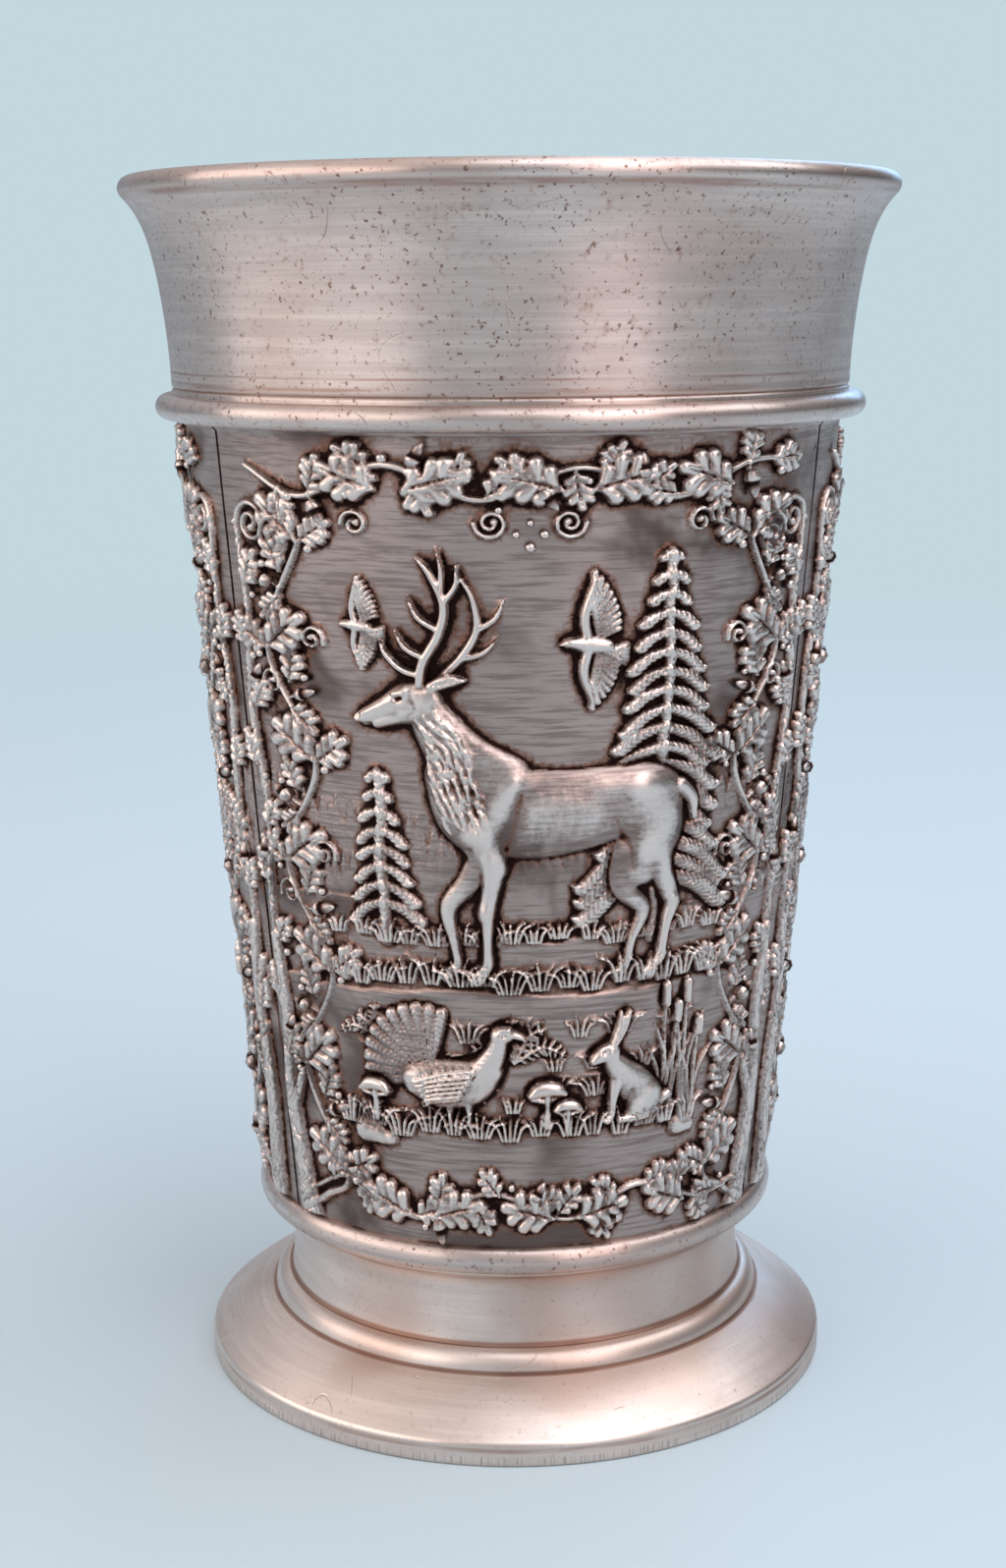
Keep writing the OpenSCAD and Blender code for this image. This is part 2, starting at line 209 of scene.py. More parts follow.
def turning_recipe() -> Recipe:
    """Builds the tree that turns an outline on the cup's axis.

    Each column of a grid takes the outline's places and marks, turned by its share of a turn.

    Returns:
        The recipe, with inputs Segments and Finish.
    """
    recipe = Recipe.begin("turn_on_axis", {"Segments": "Int", "Finish": "Material"})
    tree, entry = recipe.tree, recipe.entry
    count = add(tree, "GeometryNodeAttributeDomainSize", {0: entry.outputs[0]}).outputs["Point Count"]
    columns = add(tree, "FunctionNodeIntegerMath", {0: entry.outputs["Segments"], 1: 1})
    grid = add(tree, "GeometryNodeMeshGrid", {"Vertices X": columns, "Vertices Y": count})
    index = add(tree, "GeometryNodeInputIndex")
    column = add(tree, "FunctionNodeIntegerMath", {0: index, 1: count}, operation="DIVIDE_FLOOR")
    row = add(tree, "FunctionNodeIntegerMath", {0: index, 1: count}, operation="MODULO")
    place = add(tree, "GeometryNodeSampleIndex", {"Geometry": entry.outputs[0],
                "Value": add(tree, "GeometryNodeInputPosition"), "Index": row}, data_type="FLOAT_VECTOR")
    share = calculate(tree, "DIVIDE", column, entry.outputs["Segments"])
    angle = calculate(tree, "MULTIPLY", share, FULL_TURN)
    turned = add(tree, "ShaderNodeVectorRotate", {"Vector": place, "Angle": angle}, rotation_type="Z_AXIS")
    mesh = add(tree, "GeometryNodeSetPosition", {"Geometry": grid.outputs["Mesh"], "Position": turned})
    for mark in ("hollow", "rub"):
        value = add(tree, "GeometryNodeInputNamedAttribute", {"Name": mark})
        sampled = add(tree, "GeometryNodeSampleIndex",
                      {"Geometry": entry.outputs[0], "Value": value.outputs[0], "Index": row})
        mesh = add(tree, "GeometryNodeStoreNamedAttribute",
                   {"Geometry": mesh, "Name": mark, "Value": sampled}, domain="POINT")
    return recipe.finish(add(tree, "GeometryNodeMergeByDistance", {"Geometry": mesh, "Distance": 1e-7}))


WALL_INPUTS = {"Direction": "Float", "Unrolled radius": "Float", "Foot radius": "Float",
               "Foot height": "Float", "Slope": "Float"}


def wrap_on_wall(tree: NodeTree, geometry: Any, entry: Node) -> Node:
    """Adds the nodes that bend flat geometry round the conical wall.

    Args:
        tree: Tree that the nodes go into.
        geometry: Flat geometry, with z as lift over the ground.
        entry: Group input that has the wall's inputs.

    Returns:
        The last node, which gives the bent geometry.
    """
    flat = add(tree, "ShaderNodeSeparateXYZ", {0: add(tree, "GeometryNodeInputPosition")})
    x, y, z = (flat.outputs[axis] for axis in "XYZ")
    turn = calculate(tree, "DIVIDE", x, entry.outputs["Unrolled radius"])
    angle = calculate(tree, "ADD", turn, entry.outputs["Direction"])
    ground = calculate(tree, "MULTIPLY_ADD", y, entry.outputs["Slope"], entry.outputs["Foot radius"])
    radius = calculate(tree, "ADD", ground, z)
    height = calculate(tree, "ADD", y, entry.outputs["Foot height"])
    outward = calculate(tree, "MULTIPLY", radius, -1)
    ahead = add(tree, "ShaderNodeCombineXYZ", {"Y": outward, "Z": height})
    bent = add(tree, "ShaderNodeVectorRotate", {"Vector": ahead, "Angle": angle}, rotation_type="Z_AXIS")
    return add(tree, "GeometryNodeSetPosition", {"Geometry": geometry, "Position": bent})


def plate_recipe() -> Recipe:
    """Builds the tree that bends a flat cast plate round the wall."""
    recipe = Recipe.begin("bend_plate", {**WALL_INPUTS, "Finish": "Material"})
    return recipe.finish(wrap_on_wall(recipe.tree, recipe.entry.outputs[0], recipe.entry))


def scatter_recipe() -> Recipe:
    """Builds the tree that sets one small form at each place of a flat drawing.

    The places carry the marks turn, in radians, and size, as a factor on the form.

    Returns:
        The recipe, with inputs Form and Finish and those of the wall.
    """
    recipe = Recipe.begin("scatter_on_wall", {"Form": "Object", **WALL_INPUTS, "Finish": "Material"})
    tree, entry = recipe.tree, recipe.entry
    form = add(tree, "GeometryNodeObjectInfo", {"Object": entry.outputs["Form"]})
    turn = add(tree, "GeometryNodeInputNamedAttribute", {"Name": "turn"}).outputs[0]
    size = add(tree, "GeometryNodeInputNamedAttribute", {"Name": "size"}).outputs[0]
    rotation = add(tree, "FunctionNodeAxisAngleToRotation", {"Axis": (0, 0, 1), "Angle": turn})
    placed = add(tree, "GeometryNodeInstanceOnPoints", {"Points": entry.outputs[0],
                 "Instance": form.outputs["Geometry"], "Rotation": rotation, "Scale": size})
    whole = add(tree, "GeometryNodeRealizeInstances", {"Geometry": placed})
    return recipe.finish(wrap_on_wall(tree, whole, entry))


def new_mesh(name: str, points: np.ndarray, faces: Sequence[Sequence[int]] = (),
             edges: Sequence[Sequence[int]] = (), **marks: np.ndarray) -> Mesh:
    """Makes a mesh in metres from points in millimetres.

    Args:
        name: Name of the mesh.
        points: One row of x, y and z for each vertex.
        faces: Vertex indices of each face.
        edges: Vertex indices of each loose edge.
        marks: Named values, one for each vertex.

    Returns:
        The new mesh.
    """
    mesh = bpy.data.meshes.new(name)
    mesh.from_pydata((np.asarray(points, float) * MM).tolist(), edges, faces)
    for label, values in marks.items():
        layer = mesh.attributes.new(label, "FLOAT", "POINT")
        layer.data.foreach_set("value", np.asarray(values, np.float32).ravel())
    return mesh


def new_object(name: str, data: Any) -> Object:
    """Puts a mesh, light or camera into the scene.

    Args:
        name: Name of the object.
        data: What it shows.

    Returns:
        The new object.
    """
    item = bpy.data.objects.new(name, data)
    bpy.context.scene.collection.objects.link(item)
    return item


def place_piece(name: str, mesh: Mesh, slot: str, node: str) -> None:
    """Puts a finished mesh into the scene as a piece of the cup.

    Args:
        name: Name of the piece.
        mesh: Its final mesh, with its place in it.
        slot: Not used.
        node: Solid that it stands for.
    """
    piece = new_object(name, mesh)
    mesh.name = name
    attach(piece, "root")
    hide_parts(node)
    LOG.info("%s: %d faces", name, len(mesh.polygons))


def eased(share: Any) -> Any:
    """Smooth step of a share from 0 to 1."""
    return share * share * (3 - 2 * share)


# Outlines of the turned pieces, as radius and height


def heading(angle: float) -> Point:
    """Cosine and sine of an angle in degrees."""
    return cos(radians(angle)), sin(radians(angle))


def arc(mid: Point, half: Point, start: float, end: float, steps: int = 18) -> list[Point]:
    """Points of an elliptic arc.

    Args:
        mid: Middle of the ellipse.
        half: Its half axes.
        start: First angle in degrees.
        end: Last angle in degrees.
        steps: Number of stretches.

    Returns:
        The points, from the first angle to the last.
    """
    angles = [radians(start + (end - start) * i / steps) for i in range(steps + 1)]
    return [(mid[0] + half[0] * cos(a), mid[1] + half[1] * sin(a)) for a in angles]


@dataclass(frozen=True)
class Wall:
    """Conical wall that the panels, the liner, its film of solder and the floor follow."""

    bottom_r: float = 20.5
    top_r: float = 25.75
    panel_t: float = 1.2
    liner_t: float = 0.8
    film_t: float = 0.12

    @property
    def slope(self) -> float:
        """Growth of the radius with height."""
        return (self.top_r - self.bottom_r) / (UPPER_BEAD_Z - PANEL_Z)

    def ground(self, z: float) -> float:
        """Radius of the panels' ground at a height."""
        return self.bottom_r + (z - PANEL_Z) * self.slope

    def liner_out(self, z: float) -> float:
        """Outer radius of the liner at a height."""
        return self.ground(z) - self.panel_t

    def liner_in(self, z: float) -> float:
        """Inner radius of the liner at a height."""
        return self.liner_out(z) - self.liner_t


@dataclass
class Outline:
    """Closed section of a turned piece, anticlockwise, with its marks of wear."""

    points: list[Point]
    spacing: float = 0.14
    wear_reach: float = 0.2
    wear_radius: float = 0.55
    closed: bool = True

    def fine(self) -> np.ndarray:
        """Adds points so that no stretch is longer than the spacing.

        Returns:
            Radius and height of each point.
        """
        ring = self.points + self.points[:1] if self.closed else self.points
        dense = []
        for one, two in zip(ring, ring[1:]):
            count = max(1, ceil(dist(one, two) / self.spacing))
            dense += np.linspace(one, two, count, endpoint=False).tolist()
        return np.array(dense + [ring[-1]])

    def marks(self, line: np.ndarray) -> tuple[np.ndarray, np.ndarray]:
        """Works out how hollow and how rubbed each point of the fine outline is.

        Args:
            line: The fine outline.

        Returns:
            Values from 0 to 1 for hollow and for rubbed places.
        """
        steps = np.diff(line, axis=0)
        turn = np.diff(np.unwrap(np.arctan2(steps[:, 1], steps[:, 0])), append=0.0)
        turn[-1] = 0.0
        run = np.concatenate([[0.0], np.cumsum(np.hypot(*steps.T))])
        apart = (run[:, None] - run[None, 1:]) / self.wear_reach
        bend = (np.exp(-0.5 * apart**2) * turn).sum(1) / (self.wear_reach * sqrt(FULL_TURN))
        bend *= self.wear_radius
        return np.clip(-bend, 0, 1), np.clip(bend, 0, 1)

    def mesh(self, name: str) -> Mesh:
        """Makes the chain of vertices that the turning tree takes.

        Args:
            name: Name of the mesh.

        Returns:
            The chain, with marks hollow and rub.
        """
        line = self.fine()
        hollow, rub = self.marks(line)
        points = np.column_stack([line[:, 0], np.zeros(len(line)), line[:, 1]])
        edges = [(i, i + 1) for i in range(len(line) - 1)]
        return new_mesh(name, points, edges=edges, hollow=hollow, rub=rub)


@dataclass
class LipBand:
    """Smooth flared band with a rounded lip and a fine line cut over the upper bead."""

    wall: Wall
    base_r: float = 26.4
    lip_r: float = 30.0
    round_r: float = 0.9
    tilt: float = 45.0
    sweep_power: float = 1.75
    roll_power: float = 9.0
    outer_share: float = 0.635
    inner_share: float = 0.8
    line_z: float = 0.45
    line_w: float = 0.34
    line_depth: float = 0.14

    def flare(self, low: Point, high: Point, share: float) -> list[Point]:
        """Points of a long sweep with a short roll at its end.

        Args:
            low: First point.
            high: Last point.
            share: Share that the long sweep takes.

        Returns:
            The points, from low to high.
        """
        points = []
        for t in np.linspace(0, 1, 41).tolist():
            out = share * t**self.sweep_power + (1 - share) * t**self.roll_power
            points.append((low[0] + (high[0] - low[0]) * out, low[1] + (high[1] - low[1]) * t))
        return points

    def outline(self) -> Outline:
        """Draws the band, with the recess for the liner's end.

        Returns:
            The closed section.
        """
        wall, tilt = self.wall, radians(self.tilt)
        mid = (self.lip_r - self.round_r, CUP_H - self.round_r)
        step = (self.round_r * cos(tilt), -self.round_r * sin(tilt))
        outer = self.flare((self.base_r, BAND_Z), (mid[0] + step[0], mid[1] + step[1]), self.outer_share)
        inner = self.flare((wall.liner_in(LAP_Z), LAP_Z), (mid[0] - step[0], mid[1] - step[1]),
                           self.inner_share)
        half, z = self.line_w / 2, BAND_Z + self.line_z
        line = [(self.base_r, z - half), (self.base_r - self.line_depth, z), (self.base_r, z + half)]
        outer = [outer[0], *line, *[p for p in outer if p[1] > z + self.line_w]]
        return Outline([(wall.liner_out(BAND_Z) + wall.film_t, BAND_Z), *outer,
                        *arc(mid, (self.round_r, self.round_r), -self.tilt, 180 - self.tilt)[1:-1],
                        *inner[::-1], (wall.liner_out(LAP_Z) + wall.film_t, LAP_Z)])


@dataclass
class Foot:
    """Turned hollow foot: rim, crowned flange, rounded step, neck and fine ridge."""

    rim_r: float = 25.5
    rim_h: float = 1.5
    rim_round_r: float = 0.6
    rim_face_w: float = 1.9
    flange_crown: float = 0.25
    step_r: float = 20.2
    step_z: float = 5.0
    step_h: float = 1.6
    step_w: float = 1.3
    neck_r: float = 18.5
    neck_z: float = 10.4
    ridge_r: float = 19.9
    ridge_h: float = 0.6
    wall_t: float = 1.6
    seat_hole_r: float = 14.0
    edge_round: float = 0.15

    def outline(self) -> Outline:
        """Draws the foot, hollow underneath.

        Returns:
            The closed section.
        """
        rise = self.step_z - self.rim_h
        run = self.rim_r - self.rim_round_r - self.step_r
        lean = 90 - degrees(atan(rise / run))
        out = heading(lean)
        low = (self.rim_r - self.rim_round_r * (1 - out[0]), self.rim_h + self.rim_round_r * out[1])
        flange = []
        for i in range(1, 41):
            t = i / 40
            crown = self.flange_crown * sin(pi * t)
            flange.append((low[0] + (self.step_r - low[0]) * t + crown * out[0],
                           low[1] + (self.step_z - low[1]) * t + crown * out[1]))
        top_r, top_z = self.step_r - self.step_w, self.step_z + self.step_h
        half = self.ridge_h / 2
        ridge = (self.ridge_r - half, FOOT_H - half)
        under_r, bore_r, edge = self.rim_r - self.rim_face_w, self.neck_r - self.wall_t, self.edge_round
        return Outline([
            (under_r, 0), (self.rim_r - edge, 0), (self.rim_r, edge),
            *arc((self.rim_r - self.rim_round_r, self.rim_h), (self.rim_round_r,) * 2, 0, lean),
            *flange,
            *arc((top_r, self.step_z), (self.step_w, self.step_h), 0, 90)[1:],
            *arc((top_r, self.neck_z), (top_r - self.neck_r, self.neck_z - top_z), -90, -180)[1:],
            *arc((ridge[0], self.neck_z), (ridge[0] - self.neck_r, FOOT_H - self.ridge_h - self.neck_z),
                 180, 90)[1:],
            *arc(ridge, (half, half), -90, 90)[1:],
            (self.seat_hole_r, FOOT_H), (self.seat_hole_r, FOOT_H - self.wall_t),
            (bore_r, FOOT_H - self.wall_t), (bore_r, top_z - self.wall_t / 2),
            (self.step_r - self.wall_t, self.step_z - self.wall_t),
            (under_r, self.rim_h - self.rim_round_r)])


@dataclass
class Rings:
    """The other turned pieces: beads, liner, floor and the solder between them."""

    wall: Wall
    foot: Foot
    upper_bead_r: float = 27.7
    lower_bead_r: float = 21.25
    fillet: float = 0.8
    fillet_share: float = 0.8

    def upper_bead(self) -> Outline:
        """Round wire over the joint of band and panels."""
        half = (BAND_Z - UPPER_BEAD_Z) / 2
        return Outline([(self.wall.liner_out(UPPER_BEAD_Z), UPPER_BEAD_Z),
                        *arc((self.upper_bead_r - half, UPPER_BEAD_Z + half), (half, half), -90, 90),
                        (self.wall.liner_out(BAND_Z), BAND_Z)], spacing=0.1)

    def lower_bead(self) -> Outline:
        """Half round that the panels stand on.

        Returns:
            Its section.
        """
        half = (PANEL_Z - FOOT_H) / 2
        mid_r = self.wall.bottom_r
        return Outline([(self.wall.liner_out(FOOT_H), FOOT_H),
                        *arc((mid_r, FOOT_H + half), (self.lower_bead_r - mid_r, half), -90, 90),
                        (self.wall.liner_out(PANEL_Z), PANEL_Z)], spacing=0.1)

    def liner(self) -> Outline:
        """Plain tapering cup wall."""
        wall = self.wall
        return Outline([(wall.liner_in(FOOT_H), FOOT_H), (wall.liner_out(FOOT_H), FOOT_H),
                        (wall.liner_out(LAP_Z), LAP_Z), (wall.liner_in(LAP_Z), LAP_Z)], spacing=0.5)

    def floor(self) -> Outline:
        """Disc that closes the cup."""
        wall = self.wall
        return Outline([(0, FOOT_H), (wall.liner_in(FOOT_H), FOOT_H),
                        (wall.liner_in(FLOOR_TOP_Z), FLOOR_TOP_Z), (0, FLOOR_TOP_Z)],
                       spacing=0.6, closed=False)

    def floor_solder(self) -> Outline:
        """Hollow fillet in the corner of floor and liner.

        Returns:
            Its section.
        """
        low, high = FLOOR_TOP_Z, SOLDER_TOP_Z
        corner, inner = self.wall.liner_in(low), self.wall.liner_in(low) - self.fillet
        hollow = arc((inner, high), (self.wall.liner_in(high) - inner, high - low), 0, -90, 10)
        return Outline([(inner, low), (corner, low), *hollow[:-1]])

    def lap_solder(self) -> Outline:
        """Film between the liner's end and the band."""
        out, film = self.wall.liner_out, self.wall.film_t
        return Outline([(out(BAND_Z), BAND_Z), (out(BAND_Z) + film, BAND_Z),
                        (out(LAP_Z) + film, LAP_Z), (out(LAP_Z), LAP_Z)])

    def foot_solder(self) -> Outline:
        """Fillet between the foot's ridge and the lower bead.

        Returns:
            Its section.
        """
        half = self.foot.ridge_h / 2
        mid = (self.foot.ridge_r - half, FOOT_H - half)
        low = degrees(acos(self.fillet_share))
        return Outline([*arc(mid, (half, half), 90, low, 8), (mid[0] + self.fillet_share * half, FOOT_H)],
                       spacing=0.05)


# Flat drawing of the cast relief


def smooth_line(rows: Rows, step: float) -> np.ndarray:
    """Points of a smooth curve through rows of x, y and half width.

    Args:
        rows: The rows that the curve runs through.
        step: Distance between the points.

    Returns:
        One row of x, y and half width for each point.
    """
    knots = np.asarray(rows, float)
    knots = np.vstack([2 * knots[0] - knots[1], knots, 2 * knots[-1] - knots[-2]])
    points = []
    for a, b, c, d in zip(knots, knots[1:], knots[2:], knots[3:]):
        count = max(2, int(np.hypot(*(c - b)[:2]) / step))
        t = np.linspace(0, 1, count, endpoint=False)[:, None]
        points.append((2 * b + (c - a) * t + (2 * a - 5 * b + 4 * c - d) * t**2
                       + (3 * b - a - 3 * c + d) * t**3) / 2)
    line = np.vstack([*points, knots[-2:-1]])
    line[:, 2] = np.maximum(line[:, 2], step / 2)
    return line


def value_noise(x: np.ndarray, y: np.ndarray, size: float, seed: int) -> np.ndarray:
    """Smooth random values from 0 to 1.

    Args:
        x: Places across.
        y: Heights.
        size: Size of the lumps.
        seed: Seed of the values.

    Returns:
        One value for each place.
    """
    cells = 64
    table = np.random.default_rng(seed).random((cells, cells))
    u, v = x / size + 1000, y / size + 1000
    i, j = np.floor(u).astype(int), np.floor(v).astype(int)
    u, v = eased(u - i), eased(v - j)
    low, high = (table[k % cells, i % cells] * (1 - u) + table[k % cells, (i + 1) % cells] * u
                 for k in (j, j + 1))
    return low * (1 - v) + high * v


def blurred(values: np.ndarray, sigma: float) -> np.ndarray:
    """Gaussian blur of a map, with its edges held.

    Args:
        values: The map.
        sigma: Reach of the blur, in cells.

    Returns:
        The blurred map.
    """
    reach = max(1, int(3 * sigma))
    kernel = np.exp(-0.5 * (np.arange(-reach, reach + 1) / sigma) ** 2)
    kernel /= kernel.sum()
    for axis in (0, 1):
        width = [(reach, reach) if a == axis else (0, 0) for a in (0, 1)]
        padded = np.pad(values, width, mode="edge")
        length = values.shape[axis]
        values = sum(k * np.take(padded, range(i, i + length), axis) for i, k in enumerate(kernel))
    return values


@dataclass(frozen=True)
class Hatch:
    """Fine cut lines over a form: hair, needles, feather barbs or bark.

    The slant is their angle to the form's run in degrees, and the wobble their wander as a share
    of the pitch. Mirrored lines lean away from the form's middle on both sides.
    """

    depth: float
    pitch: float
    slant: float
    wobble: float = 0.5
    mirrored: bool = False

    def cut(self, x: np.ndarray, y: np.ndarray, along: np.ndarray, across: np.ndarray) -> np.ndarray:
        """Works out the height that the lines add.

        Args:
            x: Places across the panel.
            y: Heights on the panel.
            along: Places along the form.
            across: Places across the form.

        Returns:
            The height at each place.
        """
        lean = radians(self.slant)
        side = np.abs(across) if self.mirrored else across
        wander = value_noise(x, y, 0.9, 3) + value_noise(x, y, 0.35, 5) / 2
        phase = (side * cos(lean) + along * sin(lean)) / self.pitch + wander * self.wobble
        return self.depth * (np.abs(np.sin(pi * phase)) - 0.6)


class Ply(Enum):
    """How a form meets what lies under it."""

    OVER = "over"
    MERGED = "merged"
    ADDED = "added"


@dataclass
class Canvas:
    """Height map of one cast panel, unrolled flat."""

    width: float
    height: float
    pitch: float
    lift: np.ndarray = field(init=False)
    owner: np.ndarray = field(init=False)

    def __post_init__(self) -> None:
        """Lays out the flat map."""
        self.columns = np.linspace(-self.width / 2, self.width / 2, round(self.width / self.pitch) + 1)
        self.rows = np.linspace(0, self.height, round(self.height / self.pitch) + 1)
        self.x, self.y = np.meshgrid(self.columns, self.rows)
        self.lift = np.zeros(self.x.shape)
        self.owner = np.zeros(self.x.shape, bool)

    def window(self, line: np.ndarray, margin: float) -> tuple[slice, slice]:
        """Finds the part of the map near a line.

        Args:
            line: Points of the line.
            margin: How far the part reaches from it.

        Returns:
            The rows and the columns of the part.
        """
        (x0, y0), (x1, y1) = line[:, :2].min(0) - margin, line[:, :2].max(0) + margin
        i = np.searchsorted(self.columns, [x0, x1])
        j = np.searchsorted(self.rows, [y0, y1])
        return slice(j[0], j[1]), slice(i[0], i[1])

    def stroke(self, rows: Rows, rise: float, hatch: Hatch | None = None,
               ply: Ply = Ply.MERGED, blend: float = 0.15, power: float = 0.5) -> None:
        """Adds a rounded form that follows a line.

        Args:
            rows: Rows of x, y and half width.
            rise: Height of its crown.
            hatch: Lines cut into it.
            ply: How it meets what it crosses.
            blend: Softness of a merged joint.
            power: Shape of its section: 0.5 is half round, more is softer.
        """
        line = smooth_line(rows, self.pitch * 1.2)
        here = self.window(line, line[:, 2].max() + self.pitch)
        x, y = self.x[here], self.y[here]
        if x.size == 0:
            return
        best = np.full(x.shape, -9.0)
        along, across = np.zeros(x.shape), np.zeros(x.shape)
        steps = np.gradient(line[:, :2], axis=0)
        steps /= np.maximum(np.hypot(*steps.T), 1e-9)[:, None]
        run = np.concatenate([[0], np.cumsum(np.hypot(*np.diff(line[:, :2], axis=0).T))])
        for (px, py, half), (tx, ty), s in zip(line, steps, run):
            dx, dy = x - px, y - py
            inside = 1 - (dx * dx + dy * dy) / (half * half)
            nearer = inside > best
            best[nearer] = inside[nearer]
            along[nearer] = s
            across[nearer] = (dy * tx - dx * ty)[nearer]
        form = best > 0
        crown = np.clip(best, 0, 1) ** power
        added = rise * crown
        if hatch is not None:
            added = added + hatch.cut(x, y, along, across) * np.clip(crown * 3, 0, 1)
        old = self.lift[here]
        if ply is Ply.ADDED:
            self.lift[here] = old + np.where(self.owner[here], added, 0)
            return
        if ply is Ply.OVER:
            over = np.maximum(added, np.where(form, old * 0.6 + added * 0.7, 0))
            self.lift[here] = np.where(form, np.minimum(over, np.maximum(old + 0.35, added)), old)
        else:
            mix = np.clip(0.5 + 0.5 * (added - old) / blend, 0, 1)
            soft = old * (1 - mix) + added * mix + blend * mix * (1 - mix)
            joined = np.where(self.owner[here], soft, np.maximum(old, added))
            self.lift[here] = np.where(form, joined, old)
        self.owner[here] |= form

    @contextmanager
    def in_front(self) -> Iterator[None]:
        """Draws what follows as one body before what is there, which is cut back round it."""
        behind, owner = self.lift, self.owner
        self.lift, self.owner = np.zeros(behind.shape), np.zeros(owner.shape, bool)
        yield
        faint, halo, cut_back, stand_off = 0.02, 0.45, 0.7, 0.08
        body = self.lift > faint
        near = blurred(body.astype(float), halo / self.pitch)
        behind = behind * (1 - cut_back * np.clip(2.4 * near, 0, 1))
        self.lift = np.where(body, self.lift + stand_off, behind)
        self.owner = owner | body

    def groove(self, rows: Rows, depth: float) -> None:
        """Cuts a soft line into what stands there.

        Args:
            rows: Rows of x, y and half width.
            depth: Depth of the line.
        """
        floor = 0.1
        line = smooth_line(rows, self.pitch * 1.5)
        here = self.window(line, 3 * line[:, 2].max())
        x, y = self.x[here], self.y[here]
        cut = np.zeros(x.shape)
        for px, py, half in line:
            np.maximum(cut, np.exp(-((x - px) ** 2 + (y - py) ** 2) / half**2), out=cut)
        old = self.lift[here]
        self.lift[here] = np.where(old > floor, np.maximum(old - depth * cut, floor), old)

    def terrace(self, rows: Sequence[Point], rise: float, soft: float = 0.35, fade: float = 9.0) -> None:
        """Raises the ground below a line, as a hill or a bank.

        Args:
            rows: Points of the hill's edge, from left to right.
            rise: Height of its edge.
            soft: Width of the edge.
            fade: Distance down over which the rise dies away.
        """
        xs, ys = np.asarray(rows, float).T
        edge = np.interp(self.columns, xs, ys)
        edge = edge + 0.25 * (value_noise(self.columns, 0 * self.columns, 1.1, 7) - 0.5)
        depth = edge[None, :] - self.y
        step = eased(np.clip(depth / soft, 0, 1))
        self.lift += rise * step * np.exp(-np.clip(depth, 0, None) / fade)


@dataclass(frozen=True)
class Place:
    """Where a figure stands on a panel: its foot, its size and whether it is mirrored."""

    x: float
    y: float
    size: float = 1.0
    mirrored: bool = False

    def put(self, rows: Rows) -> list[Row]:
        """Moves rows from a figure's own axes to the panel's."""
        way = -self.size if self.mirrored else self.size
        return [(self.x + way * x, self.y + self.size * y, half * self.size) for x, y, half in rows]


@dataclass
class Figure:
    """A form of the picture, drawn in its own axes and put on a canvas."""

    canvas: Canvas
    place: Place

    def stroke(self, rows: Rows, rise: float, **options: Any) -> None:
        """Adds a form given in the figure's own axes."""
        self.canvas.stroke(self.place.put(rows), rise * sqrt(self.place.size), **options)

    def groove(self, rows: Rows, depth: float) -> None:
        """Cuts a line given in the figure's own axes."""
        self.canvas.groove(self.place.put(rows), depth * sqrt(self.place.size))

    def swell(self, rows: Rows, rise: float) -> None:
        """Adds a soft muscle over what stands there."""
        self.stroke(rows, rise, ply=Ply.ADDED, power=1.3)


